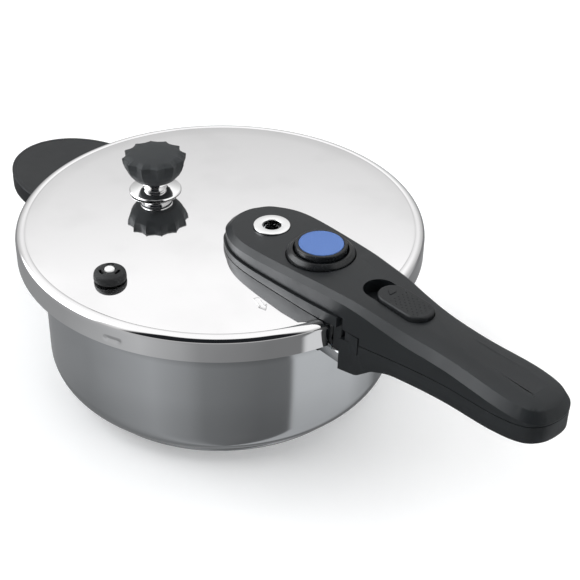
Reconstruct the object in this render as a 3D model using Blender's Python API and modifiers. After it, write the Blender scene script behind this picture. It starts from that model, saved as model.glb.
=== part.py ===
"""Stovetop pressure cooker: a low pan with a bayonet lid, built as separate pieces.

Frame: metres, +Z up, origin at the centre of the pan's base. The long handles point along +X.
The lid is closed and unlocked: its lugs are under the pan's lugs and the slide button is at its outer end.
"""

import math

import bmesh
import bpy
from mathutils import Matrix, Vector

# ---------------------------------------------------------------- driving dimensions (metres)
GAP = 0.0003  # between pieces that touch
RUN = 0.0004  # side clearance of sliding pieces
STEEL_WALL = 0.0010
LONG_STEPS = 48  # sides of the large turned pieces
SMALL_STEPS = 20

# the pan
PAN_RADIUS = 0.112
PAN_CORNER = 0.018
RIM_Z = 0.0959  # top of the pan's flange
FLANGE_THICKNESS = 0.0012
FLANGE_RADIUS = PAN_RADIUS + 0.0050
PAN_LUG_RADIUS = PAN_RADIUS + 0.0105
BASE_RADIUS = PAN_RADIUS - PAN_CORNER + 0.0055
BASE_EDGE = 0.0055
CORE_THICKNESS = 0.005
CAP_WALL = 0.0006

# the bayonet's lugs, the same on the pan and the lid
LUG_COUNT = 6
LUG_ANGLE = math.radians(24)
LUG_FIRST = math.radians(-37)
LUG_PLAY = 0.0010  # between a pan lug and the lid lug under it

# the lid
LID_RADIUS = PAN_RADIUS + 0.0150
LID_PLATE_RADIUS = LID_RADIUS - 0.0062
LID_PLATE_Z = RIM_Z + 0.0122  # top of the plate at its edge
LID_DOME = 0.0033
LID_BEAD = 0.0045
SKIRT_Z = RIM_Z - 0.0038
LID_LUG_RADIUS = LID_RADIUS - 0.0080
SEAL_WIDTH = 0.008
SEAL_LIP = 0.0025

# the two long handles
HANDLE_START = 0.0190
HANDLE_END = LID_RADIUS + 0.1390
HANDLE_TOP = LID_PLATE_Z + LID_DOME + 0.0161
HANDLE_CREST = LID_RADIUS - 0.0165  # where the cover's top starts to fall towards the lid's middle
HANDLE_FALL = 0.048  # metre per metre
HANDLE_WALL = 0.003
HANDLE_HALF_WIDTHS = (  # distance from the pan's axis, half the width there
    (HANDLE_START + 0.0080, 0.0190),
    (HANDLE_START + 0.0320, 0.0285),
    (LID_RADIUS - 0.0320, 0.0272),
    (LID_RADIUS + 0.0080, 0.0232),
    (LID_RADIUS + 0.0480, 0.0192),
    (HANDLE_END - 0.0610, 0.0180),
    (HANDLE_END - 0.0280, 0.0196),
    (HANDLE_END - 0.0100, 0.0174),
    (HANDLE_END - 0.0025, 0.0110),
)
TIER_BOTTOM = LID_PLATE_Z + LID_DOME + GAP
TIER_HEIGHT = 0.0034
TIER_STEP = 0.0016  # how far the tier stands out from the cover
COVER_EDGE = 0.0022
HOOK_THICKNESS = 0.0062
HOOK_LIP = 0.0035
FLOOR_THICKNESS = 0.0020
HEAD_X = LID_RADIUS + GAP + HOOK_THICKNESS + GAP  # where the handles' full depth starts
HEAD_SAG = 0.004  # how far the curved end of the head reaches back at its sides
PARTING_Z = LID_PLATE_Z - 0.0071  # level where the two long handles meet, at the rim
PARTING_RISE = 0.108  # its rise towards the tip, per metre
PARTING_GAP = 0.0006
PAN_HANDLE_HEAD = 0.0215
PAN_HANDLE_ARM = 0.0102

# screws and the pan handle's bracket and sleeve
SCREW_RADIUS = 0.0020
SCREW_HEAD = 0.0038
HANDLE_SCREWS = (HANDLE_END - 0.0640, HANDLE_END - 0.0220)
BRACKET_HALF_WIDTH = 0.013
BRACKET_THICKNESS = 0.004
BRACKET_END = HEAD_X + 0.0105
BRACKET_RISE = 0.0064  # of its middle above the head's underside
PAN_SCREW_X = HEAD_X + 0.0055
PAN_SCREW_REACH = 0.0090  # above the bracket's middle
GUARD_HALF_WIDTH = 0.0225
GUARD_HEIGHT = 0.0080
GUARD_WALL = 0.0010
GASKET_DEPTH = 0.0042

# the hollow bolt that holds the lid's handle
FERRULE_X = HANDLE_START + 0.0287
FERRULE_RADIUS = 0.0110
FERRULE_BORE = 0.0056
STUD_RADIUS = 0.0078
STUD_BORE = 0.0050
STUD_HEAD = 0.0120
FERRULE_SEAT = 0.0009  # depth of the flat under the ferrule

# the pressure indicator
INDICATOR_X = LID_RADIUS - 0.0365
INDICATOR_ROD = 0.0022
INDICATOR_SLEEVE = 0.0045
INDICATOR_TRAVEL = 0.0040
BEZEL_RADIUS = 0.0202
COLLAR_RADIUS = 0.0157
DISC_RADIUS = 0.0130
SPRING_RADIUS = 0.0042
SPRING_WIRE = 0.00035

# the lock
LOCK_TRAVEL = 0.0105
SLIDER_START = LID_RADIUS + 0.0130
SLIDER_END = LID_RADIUS + 0.0492
SLIDER_RADIUS = 0.0091
SLIDER_HEIGHT = 0.0024  # above the cover
SLOT_START = SLIDER_START - LOCK_TRAVEL - 0.0005
SLIDE_SCREW = 0.0014
TAB_START = LID_RADIUS + 0.0085
TAB_END = LID_RADIUS + 0.0183
TAB_TOP = PARTING_Z + 0.0063
TAB_THICKNESS = 0.0086
TONGUE = 0.0014
TONGUE_Z = PARTING_Z + 0.0041
TONGUE_ARM_START = LID_RADIUS + 0.0325
TONGUE_ARM_END = LID_RADIUS + 0.0410
EYELET_PLAY = 0.0004
BAR_Z = HANDLE_TOP - 0.0085
BAR_THICKNESS = 0.0016
BAR_HALF_WIDTH = 0.0080

# the regulator and the safety valve
VALVE_PLACE = Vector((-0.0500, -0.0135, 0))
VALVE_BORE = 0.0018
VALVE_NECK = 0.0052
KNOB_RADIUS = 0.0208
KNOB_SCALLOPS = 12
SAFETY_AZIMUTH = math.radians(-82)
SAFETY_PLACE = (LID_RADIUS - 0.0327) * Vector((math.cos(SAFETY_AZIMUTH), math.sin(SAFETY_AZIMUTH), 0))
SAFETY_RADIUS = 0.0096
SAFETY_NECK = 0.0060
SAFETY_PIN = 0.0030
SAFETY_TRAVEL = 0.0020
WASHER = 0.0015  # thickness of the seals under the lid

# the helper handle
HELPER_AZIMUTH = math.radians(184)
HELPER_TOP = RIM_Z - 0.0134
HELPER_REACH = PAN_RADIUS + 0.0855
HELPER_HALF_WIDTH = 0.044
HELPER_THICKNESS = 0.011
HELPER_BRACKET_HALF_WIDTH = 0.019
HELPER_BRACKET_THICKNESS = 0.003
HELPER_SCREW_Y = 0.011

# extents of the cutters, all well outside the pieces
FAR = 0.05  # past the sides of a handle
DEEP = RIM_Z - 0.05  # below the handles
HIGH = LID_PLATE_Z + 0.036  # above the handles

# ---------------------------------------------------------------- collections and materials
PARTS = bpy.data.collections.new("pressure_cooker")
CUTTERS = bpy.data.collections.new("cutters")


def clear_scene():
    for thing in list(bpy.data.objects):
        bpy.data.objects.remove(thing, do_unlink=True)
    for group in (PARTS, CUTTERS):
        bpy.context.scene.collection.children.link(group)


def material(name, colour, metallic, roughness):
    found = bpy.data.materials.get(name)
    if found:
        return found
    made = bpy.data.materials.new(name)
    made.use_nodes = True
    shader = made.node_tree.nodes["Principled BSDF"]
    shader.inputs["Base Color"].default_value = (*colour, 1)
    shader.inputs["Metallic"].default_value = metallic
    shader.inputs["Roughness"].default_value = roughness
    return made


def polished_steel():
    return material("polished_steel", (0.72, 0.72, 0.73), 1.0, 0.12)


def satin_steel():
    return material("satin_steel", (0.55, 0.56, 0.57), 1.0, 0.30)


def aluminium():
    return material("aluminium", (0.62, 0.62, 0.63), 1.0, 0.40)


def black_phenolic():
    return material("black_phenolic", (0.030, 0.033, 0.036), 0.0, 0.50)


def black_rubber():
    return material("black_rubber", (0.025, 0.027, 0.028), 0.0, 0.75)


def silicone():
    return material("silicone", (0.55, 0.56, 0.56), 0.0, 0.60)


def blue_plastic():
    return material("blue_plastic", (0.10, 0.19, 0.48), 0.0, 0.35)


def white_pin():
    return material("white_pin", (0.80, 0.80, 0.80), 0.0, 0.30)


# ---------------------------------------------------------------- modelling helpers
def put(name, mesh, finish):
    """A new object in the parts collection, or in the cutters if it has no finish."""
    made = bpy.data.objects.new(name, mesh)
    (PARTS if finish else CUTTERS).objects.link(made)
    if finish:
        mesh.materials.append(finish)
    else:
        made.hide_render = True
        made.display_type = "WIRE"
    return made


def turned(name, profile, finish, at=(0, 0), steps=SMALL_STEPS):
    """A profile of (radius, z) turned about a vertical axis at (x, y): a loop unless it meets the axis."""
    mesh = bpy.data.meshes.new(name)
    shape = bmesh.new()
    corners = [shape.verts.new((radius, 0, z)) for radius, z in profile]
    for near, far in zip(corners, corners[1:]):
        shape.edges.new((near, far))
    if profile[0][0] > 0:
        shape.edges.new((corners[-1], corners[0]))
    shape.to_mesh(mesh)
    shape.free()
    made = put(name, mesh, finish)
    made.location = (at[0], at[1], 0)
    screw = made.modifiers.new("turn", "SCREW")
    screw.steps = steps
    screw.render_steps = steps
    screw.use_merge_vertices = True
    screw.merge_threshold = 0.00001
    screw.use_smooth_shade = True
    return made


def disc_profile(radius, low, high):
    return [(0, high), (radius, high), (radius, low), (0, low)]


def ring_profile(outer, inner, low, high):
    return [(outer, high), (outer, low), (inner, low), (inner, high)]


def hex_nut(name, corner_radius, bore, low, high, at):
    """A six-sided nut with a round bore."""
    nut = turned(name, disc_profile(corner_radius, low, high), satin_steel(), at, 6)
    hole(nut, name + "_bore", bore, low - 0.01, high + 0.01, at)


def outline(name, points, low, high, finish, plane="XY", smooth=False):
    """A flat outline in the XY or XZ plane given thickness from low to high along the third axis."""
    curve = bpy.data.curves.new(name, "CURVE")
    curve.dimensions = "2D"
    curve.fill_mode = "BOTH"
    curve.extrude = (high - low) / 2
    curve.resolution_u = 4
    spline = curve.splines.new("BEZIER" if smooth else "POLY")
    if smooth:
        spline.bezier_points.add(len(points) - 1)
        for knot, (x, y) in zip(spline.bezier_points, points):
            knot.co = (x, y, 0)
            knot.handle_left_type = "AUTO"
            knot.handle_right_type = "AUTO"
    else:
        spline.points.add(len(points) - 1)
        for corner, (x, y) in zip(spline.points, points):
            corner.co = (x, y, 0, 1)
    spline.use_cyclic_u = True
    guide = bpy.data.objects.new(name + "_outline", curve)
    CUTTERS.objects.link(guide)
    middle = (low + high) / 2
    if plane == "XY":
        guide.matrix_world = Matrix.Translation((0, 0, middle))
    else:
        guide.matrix_world = Matrix.Translation((0, middle, 0)) @ Matrix.Rotation(math.pi / 2, 4, "X")
    bpy.context.view_layer.update()
    graph = bpy.context.evaluated_depsgraph_get()
    mesh = bpy.data.meshes.new_from_object(guide.evaluated_get(graph))
    shape = bmesh.new()
    shape.from_mesh(mesh)
    bmesh.ops.remove_doubles(shape, verts=shape.verts, dist=0.00001)
    bmesh.ops.recalc_face_normals(shape, faces=shape.faces)
    shape.to_mesh(mesh)
    shape.free()
    mesh.name = name
    made = put(name, mesh, finish)
    made.matrix_world = guide.matrix_world
    bpy.data.objects.remove(guide, do_unlink=True)
    return made


def box(name, low, high, finish):
    """A box between two opposite corners."""
    mesh = bpy.data.meshes.new(name)
    shape = bmesh.new()
    bmesh.ops.create_cube(shape, size=1)
    size = [b - a for a, b in zip(low, high)]
    middle = [(a + b) / 2 for a, b in zip(low, high)]
    bmesh.ops.scale(shape, vec=size, verts=shape.verts)
    bmesh.ops.translate(shape, vec=middle, verts=shape.verts)
    shape.to_mesh(mesh)
    shape.free()
    return put(name, mesh, finish)


def join(target, other, operation):
    """Cuts, joins or intersects by a Boolean. The second shape becomes a hidden cutter."""
    change = target.modifiers.new(operation.lower(), "BOOLEAN")
    change.operation = operation
    change.object = other
    if other.name in PARTS.objects:
        PARTS.objects.unlink(other)
        CUTTERS.objects.link(other)
        other.hide_render = True
        other.display_type = "WIRE"


def cut(target, other):
    join(target, other, "DIFFERENCE")


def hole(target, name, radius, low, high, at=(0, 0), steps=SMALL_STEPS):
    cut(target, turned(name, disc_profile(radius, low, high), None, at, steps))


def soften(target, width, segments=1):
    """Small rounded edges on the sharp corners of a moulding."""
    bevel = target.modifiers.new("edges", "BEVEL")
    bevel.width = width
    bevel.segments = segments
    bevel.limit_method = "ANGLE"
    bevel.angle_limit = math.radians(50)


def arc(centre_x, centre_y, radius, start, end, count):
    """Points on an arc, angles in degrees."""
    found = []
    for step in range(count + 1):
        angle = math.radians(start + (end - start) * step / count)
        found.append((centre_x + radius * math.cos(angle), centre_y + radius * math.sin(angle)))
    return found


def stadium(start, end, radius, count=8):
    """A slot outline along X with round ends."""
    left = arc(start + radius, 0, radius, 90, 270, count)
    return left + arc(end - radius, 0, radius, -90, 90, count)


def mirrored(half):
    """A closed outline from its half with y at or above zero."""
    return half + [(x, -y) for x, y in reversed(half) if y > 0]


# ---------------------------------------------------------------- the pan
def lug_gaps(name, inner, outer, low, high):
    """Cuts away the flange between the lugs: one sector for each gap."""
    pitch = 2 * math.pi / LUG_COUNT
    half = (pitch - LUG_ANGLE) / 2
    sectors = []
    for index in range(LUG_COUNT):
        middle = LUG_FIRST + pitch * (index + 0.5)
        start, end = math.degrees(middle - half), math.degrees(middle + half)
        points = arc(0, 0, outer, start, end, 8) + arc(0, 0, inner, end, start, 8)
        sectors.append(outline(f"{name}_{index}", points, low, high, None))
    return sectors


def pan_body():
    outer, inner = PAN_RADIUS, PAN_RADIUS - STEEL_WALL
    floor = CAP_WALL + GAP + CORE_THICKNESS + GAP
    under = RIM_Z - FLANGE_THICKNESS
    profile = [(0, floor + STEEL_WALL)]
    profile += arc(outer - PAN_CORNER, floor + PAN_CORNER, PAN_CORNER - STEEL_WALL, -90, 0, 6)
    profile += [(inner, RIM_Z - 0.001), (inner + 0.0004, RIM_Z), (PAN_LUG_RADIUS, RIM_Z)]
    profile += [(PAN_LUG_RADIUS, under), (outer + 0.0006, under), (outer, under - 0.0008)]
    profile += arc(outer - PAN_CORNER, floor + PAN_CORNER, PAN_CORNER, 0, -90, 6)
    profile += [(0, floor)]
    pan = turned("pan_body", profile, satin_steel(), steps=LONG_STEPS)
    for sector in lug_gaps("pan_lug_gap", FLANGE_RADIUS, LID_RADIUS + GAP, under - 0.001, RIM_Z + 0.001):
        cut(pan, sector)


def sandwich_base():
    core_low = CAP_WALL + GAP
    core_high = core_low + CORE_THICKNESS
    profile = [(0, core_high), (BASE_RADIUS - CAP_WALL - GAP, core_high)]
    profile += arc(BASE_RADIUS - BASE_EDGE, BASE_EDGE, BASE_EDGE - CAP_WALL - GAP, 0, -90, 3)
    profile += [(0, core_low)]
    turned("base_core", profile, aluminium(), steps=LONG_STEPS)
    centre = BASE_RADIUS - BASE_EDGE, BASE_EDGE
    rim = core_high + GAP
    profile = [(0, CAP_WALL)] + arc(*centre, BASE_EDGE - CAP_WALL, -90, 0, 3)
    profile += [(BASE_RADIUS - CAP_WALL, rim), (BASE_RADIUS, rim)]
    profile += arc(*centre, BASE_EDGE, 0, -90, 4) + [(0, 0)]
    turned("base_cap", profile, satin_steel(), steps=LONG_STEPS)


def parting_z(x):
    """Level of the joint between the lid's handle and the pan's handle."""
    return PARTING_Z + PARTING_RISE * (x - LID_RADIUS)


def cover_top(x):
    """Level of the lid handle's top."""
    return HANDLE_TOP - HANDLE_FALL * max(0, HANDLE_CREST - x)


def handle_plan(grow=0.0):
    """Top view of the long handles, every side moved out by grow."""
    half = [(HANDLE_START - grow, 0)]
    half += [(x, width + grow) for x, width in HANDLE_HALF_WIDTHS]
    half += [(HANDLE_END + grow, 0)]
    return mirrored(half)


def handle_half_width(x):
    """Half the handle's width near x, between its stations."""
    for (near, first), (far, second) in zip(HANDLE_HALF_WIDTHS, HANDLE_HALF_WIDTHS[1:]):
        if near <= x <= far:
            return first + (second - first) * (x - near) / (far - near)
    return HANDLE_HALF_WIDTHS[-1][1]


def pan_handle():
    """The lower long handle: a deep head at the pan, a slender arm and the tab that stops the lid."""
    start, end = HEAD_X - HEAD_SAG, HANDLE_END + 0.01
    top = parting_z(start) - PARTING_GAP
    under = top - PAN_HANDLE_HEAD
    neck = start + 0.037
    side = [(start, top), (start, under), (start + 0.0145, under + 0.0028), (start + 0.0255, under + 0.0105)]
    side += [(neck, parting_z(neck) - PARTING_GAP - PAN_HANDLE_ARM)]
    side += [(end, parting_z(end) - PARTING_GAP - PAN_HANDLE_ARM), (end, parting_z(end) - PARTING_GAP)]
    handle = outline("pan_handle", handle_plan(), DEEP, HIGH, black_phenolic(), smooth=True)
    join(handle, outline("pan_handle_side", side, -FAR, FAR, None, "XZ"), "INTERSECT")
    soften(handle, 0.0012)
    cut(handle, turned("head_hollow", disc_profile(HEAD_X, DEEP, HIGH), None, steps=LONG_STEPS))
    half = handle_half_width(TAB_START) - 0.0006
    tab = box("pan_handle_tab", (TAB_START, -half, PARTING_Z - 0.005),
              (TAB_END, -half + TAB_THICKNESS, TAB_TOP), None)
    join(handle, tab, "UNION")
    middle = tongue_y()
    reach = TONGUE / 2 + EYELET_PLAY
    cut(handle, box("eyelet", (TAB_START - 0.01, middle - reach, TONGUE_Z - reach),
                    (TAB_END + 0.01, middle + reach, TONGUE_Z + reach), None))
    pocket_half, pocket_z = BRACKET_HALF_WIDTH + GAP, bracket_z()
    cut(handle, box("bracket_pocket", (start - 0.01, -pocket_half, pocket_z - BRACKET_THICKNESS / 2 - GAP),
                    (BRACKET_END + GAP, pocket_half, pocket_z + BRACKET_THICKNESS / 2 + GAP), None))
    hole(handle, "pan_screw_way", SCREW_RADIUS + GAP, pocket_z, pocket_z + PAN_SCREW_REACH + GAP,
         (PAN_SCREW_X, 0), 16)
    hole(handle, "pan_screw_head_way", SCREW_HEAD + GAP, DEEP, pocket_z, (PAN_SCREW_X, 0), 20)


def bracket_z():
    """Middle height of the steel bracket inside the pan's handle."""
    return parting_z(HEAD_X) - PARTING_GAP - PAN_HANDLE_HEAD + BRACKET_RISE


def wall_cutter(name, clearance):
    """A cylinder of the pan's wall, for what seats against it."""
    return turned(name, disc_profile(PAN_RADIUS + clearance, 0, RIM_Z - 0.003), None, steps=LONG_STEPS)


def pan_bracket():
    """A bar with a foot that follows the pan's wall, where it is welded."""
    z = bracket_z()
    bar = box("pan_bracket", (PAN_RADIUS - 0.004, -BRACKET_HALF_WIDTH, z - BRACKET_THICKNESS / 2),
              (BRACKET_END, BRACKET_HALF_WIDTH, z + BRACKET_THICKNESS / 2), satin_steel())
    cut(bar, wall_cutter("bracket_wall", GAP))
    hole(bar, "bracket_screw_way", SCREW_RADIUS + GAP, z - 0.01, z + 0.01, (PAN_SCREW_X, 0), 16)
    head = z - BRACKET_THICKNESS / 2 - GAP
    profile = [(0, z + PAN_SCREW_REACH), (SCREW_RADIUS, z + PAN_SCREW_REACH), (SCREW_RADIUS, head)]
    profile += [(SCREW_HEAD, head), (SCREW_HEAD, head - 0.0022), (0, head - 0.0022)]
    turned("pan_handle_screw", profile, satin_steel(), (PAN_SCREW_X, 0), 16)


def sleeve(name, start, end, grow, clearance, finish):
    """A short rectangular tube round the bracket, its inner end shaped to the pan's wall."""
    z, half, high = bracket_z(), GUARD_HALF_WIDTH + grow, GUARD_HEIGHT / 2 + grow
    tube = box(name, (start, -half, z - high), (end, half, z + high), finish)
    soften(tube, 0.0015)
    inner_half, inner_high = GUARD_HALF_WIDTH - GUARD_WALL, GUARD_HEIGHT / 2 - GUARD_WALL
    cut(tube, box(name + "_way", (start - 0.01, -inner_half, z - inner_high),
                  (end + 0.01, inner_half, z + inner_high), None))
    cut(tube, wall_cutter(name + "_wall", clearance))
    return tube


def flame_guard():
    """A steel sleeve between the pan and its handle, on a dark gasket at the wall."""
    inside = PAN_RADIUS - 0.008
    guard = sleeve("flame_guard", inside, HEAD_X + 0.004, 0.0, GASKET_DEPTH + 2 * GAP, satin_steel())
    reach = turned("guard_reach", disc_profile(HEAD_X - GAP, DEEP, HIGH), None, steps=LONG_STEPS)
    join(guard, reach, "INTERSECT")
    end = PAN_RADIUS + GASKET_DEPTH
    gasket = sleeve("guard_gasket", inside, end + 0.0003, 0.0010, GAP, black_rubber())
    cut(gasket, turned("gasket_trim", ring_profile(end + 0.04, end, DEEP, HIGH), None, steps=LONG_STEPS))


def helper_place():
    return Matrix.Rotation(HELPER_AZIMUTH, 4, "Z")


def helper_handle():
    """The flat paddle handle opposite the long one, on its steel bracket and two screws."""
    low = HELPER_TOP - HELPER_THICKNESS
    root = PAN_RADIUS + 0.012
    length = HELPER_REACH - root
    side = [(root, HELPER_HALF_WIDTH * 0.78), (root + 0.005, HELPER_HALF_WIDTH * 0.94)]
    for share in (0.30, 0.52, 0.72, 0.88, 0.97):
        side.append((root + length * share, HELPER_HALF_WIDTH * math.sqrt(1 - ((share - 0.22) / 0.78) ** 2)))
    side.append((HELPER_REACH, 0))
    paddle = outline("helper_handle", mirrored(side), low, HELPER_TOP, black_phenolic(), smooth=True)
    soften(paddle, 0.0016)
    z = (low + HELPER_TOP) / 2
    inside, reach = PAN_RADIUS - 0.006, root + 0.022
    half, high = HELPER_BRACKET_HALF_WIDTH, HELPER_BRACKET_THICKNESS / 2
    cut(paddle, box("helper_pocket", (inside, -half - GAP, z - high - GAP),
                    (reach + GAP, half + GAP, z + high + GAP), None))
    bracket = box("helper_bracket", (inside, -half, z - high), (reach, half, z + high), satin_steel())
    foot = box("helper_foot", (inside, -half, z - 0.009), (PAN_RADIUS + 0.0025, half, z + 0.007), None)
    join(bracket, foot, "UNION")
    cut(bracket, wall_cutter("helper_wall", GAP))
    pieces = [paddle, bracket]
    for y, name in ((HELPER_SCREW_Y, "helper_screw_left"), (-HELPER_SCREW_Y, "helper_screw_right")):
        at = (root + 0.013, y)
        for index, (piece, start, end) in enumerate(((paddle, z - 0.02, z), (bracket, z - 0.01, z + 0.01))):
            cutter = turned(f"{name}_way_{index}", disc_profile(SCREW_RADIUS + GAP, start, end), None, at, 16)
            cut(piece, cutter)
            pieces.append(cutter)
        head = low + 0.0022
        head_way = turned(f"{name}_head_way", disc_profile(SCREW_HEAD + GAP, low - 0.01, head), None, at, 20)
        cut(paddle, head_way)
        profile = [(0, z + 0.0012), (SCREW_RADIUS, z + 0.0012), (SCREW_RADIUS, head - GAP)]
        profile += [(SCREW_HEAD, head - GAP), (SCREW_HEAD, head - 0.0022), (0, head - 0.0022)]
        pieces += [head_way, turned(name, profile, satin_steel(), at, 16)]
    pieces += [bpy.data.objects[name] for name in ("helper_pocket", "helper_foot")]
    for piece in pieces:
        piece.matrix_world = helper_place() @ piece.matrix_basis


# ---------------------------------------------------------------- the lid
def plate_z(radius):
    """Top of the lid's plate, a shallow dome."""
    return LID_PLATE_Z + LID_DOME * (1 - (radius / LID_PLATE_RADIUS) ** 2)


def plate_points(lift):
    """Points of the plate's top from the axis to its edge, raised by lift."""
    radii = [LID_PLATE_RADIUS * step / 5 for step in range(6)]
    return [(radius, plate_z(radius) + lift) for radius in radii]


def lid_profile():
    top = plate_points(0)
    centre = LID_RADIUS - LID_BEAD, LID_PLATE_Z - LID_BEAD
    bead = arc(*centre, LID_BEAD, 82, 0, 5)
    lug_top = RIM_Z - FLANGE_THICKNESS - LUG_PLAY
    lugs = [(LID_RADIUS, SKIRT_Z), (LID_LUG_RADIUS, SKIRT_Z), (LID_LUG_RADIUS, lug_top)]
    lugs += [(LID_RADIUS - STEEL_WALL, lug_top)]
    inner_bead = arc(*centre, LID_BEAD - STEEL_WALL, 0, 82, 5)
    under = [(radius, z - STEEL_WALL) for radius, z in reversed(top)]
    return top + bead + lugs + inner_bead + under


def lid_shell():
    lid = turned("lid_shell", lid_profile(), polished_steel(), steps=LONG_STEPS)
    low, high = SKIRT_Z - 0.001, RIM_Z - FLANGE_THICKNESS
    ledge = 0.0005  # left round the skirt between the lugs
    for sector in lug_gaps("lid_lug_gap", LID_LUG_RADIUS - 0.009, LID_RADIUS - STEEL_WALL - ledge, low, high):
        cut(lid, sector)
    for name, radius, at in (("stud_way", STUD_RADIUS, (FERRULE_X, 0)),
                             ("indicator_way", INDICATOR_SLEEVE, (INDICATOR_X, 0)),
                             ("valve_way", VALVE_NECK, VALVE_PLACE.xy),
                             ("safety_way", SAFETY_NECK, SAFETY_PLACE.xy)):
        hole(lid, name, radius + GAP, DEEP, HIGH, at)


def sealing_ring():
    """A soft ring of C section between the pan's flange and the lid, open to the inside."""
    low = RIM_Z + GAP
    high = LID_PLATE_Z - STEEL_WALL - GAP
    outer = LID_RADIUS - LID_BEAD
    inner = outer - SEAL_WIDTH
    profile = [(outer, high - 0.0004), (outer + 0.0012, (low + high) / 2), (outer, low)]
    profile += [(inner, low), (inner, low + SEAL_LIP - 0.0008), (outer - 0.003, low + SEAL_LIP)]
    profile += [(outer - 0.003, high - SEAL_LIP), (inner, high - SEAL_LIP + 0.0008), (inner, high)]
    profile += [(outer - 0.0012, high)]
    turned("sealing_ring", profile, silicone(), steps=LONG_STEPS)


def lid_handle_base():
    """The lid handle's floor: a tier on the lid, the hook round its rim and the grip's floor."""
    top = TIER_BOTTOM + TIER_HEIGHT
    hook_x = LID_RADIUS + GAP
    tier_end = hook_x + HOOK_THICKNESS - COVER_EDGE - GAP  # clear of the fillet inside the cover's step
    start, end = HEAD_X + HANDLE_WALL + GAP, HANDLE_END - 0.006
    tier_low = LID_PLATE_Z + GAP + 0.0002  # at the lid's edge; inside it the tier follows the dome
    base = outline("lid_handle_base", handle_plan(TIER_STEP), tier_low, top, black_phenolic(), smooth=True)
    dome = plate_points(GAP) + [(LID_PLATE_RADIUS, DEEP), (0, DEEP)]
    cut(base, turned("base_tier_under", dome, None, steps=LONG_STEPS))
    join(base, box("base_tier_span", (0, -FAR, DEEP), (tier_end, FAR, HIGH), None), "INTERSECT")
    hook_half = handle_half_width(hook_x) + TIER_STEP - 0.004
    hook_low = SKIRT_Z - 0.0016
    hook = box("base_hook", (hook_x - HOOK_LIP, -hook_half, hook_low),
               (hook_x + HOOK_THICKNESS, hook_half, top - COVER_EDGE - GAP), None)
    rim = turned("base_hook_rim", disc_profile(LID_RADIUS + GAP, SKIRT_Z - GAP, tier_low), None,
                 steps=LONG_STEPS)
    rim_top = turned("base_hook_under", disc_profile(LID_RADIUS - HOOK_LIP, DEEP, SKIRT_Z), None,
                     steps=LONG_STEPS)
    outside = turned("base_hook_outside", disc_profile(hook_x + HOOK_THICKNESS, DEEP, HIGH), None,
                     steps=LONG_STEPS)
    join(hook, outside, "INTERSECT")
    cut(hook, rim)
    cut(hook, rim_top)
    join(base, hook, "UNION")
    side = [(hook_x + 0.001, top - 0.003), (start + 0.002, parting_z(start)), (end, parting_z(end))]
    side += [(end, parting_z(end) + FLOOR_THICKNESS), (start + 0.004, parting_z(start) + FLOOR_THICKNESS)]
    side += [(start - 0.0005, top - 0.0005), (hook_x + 0.001, top - 0.0005)]
    floor = outline("base_floor", handle_plan(-HANDLE_WALL - GAP), DEEP, HIGH, None, smooth=True)
    join(floor, outline("base_floor_side", side, -FAR, FAR, None, "XZ"), "INTERSECT")
    join(base, floor, "UNION")
    hole(base, "base_stud_way", STUD_RADIUS + GAP, DEEP, HIGH, (FERRULE_X, 0))
    hole(base, "base_indicator_way", INDICATOR_SLEEVE + 0.003, DEEP, HIGH, (INDICATOR_X, 0))
    half = handle_half_width(TAB_START)
    cut(base, box("base_tab_way", (HEAD_X, -half - 0.01, DEEP),
                  (TAB_END + 0.0010, -half + TAB_THICKNESS + 0.0014, TIER_BOTTOM - 0.0005), None))
    cut(base, box("base_tongue_way", (TAB_END, -half - 0.01, DEEP),
                  (TONGUE_ARM_END + RUN, tongue_y() + TONGUE / 2 + RUN, TIER_BOTTOM - 0.0008), None))
    for index, x in enumerate(HANDLE_SCREWS):
        hole(base, f"base_screw_way_{index}", SCREW_RADIUS + GAP, DEEP, HIGH, (x, 0), 16)
        hole(base, f"base_head_way_{index}", SCREW_HEAD, DEEP, parting_z(x) + 0.0012, (x, 0), 16)


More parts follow.
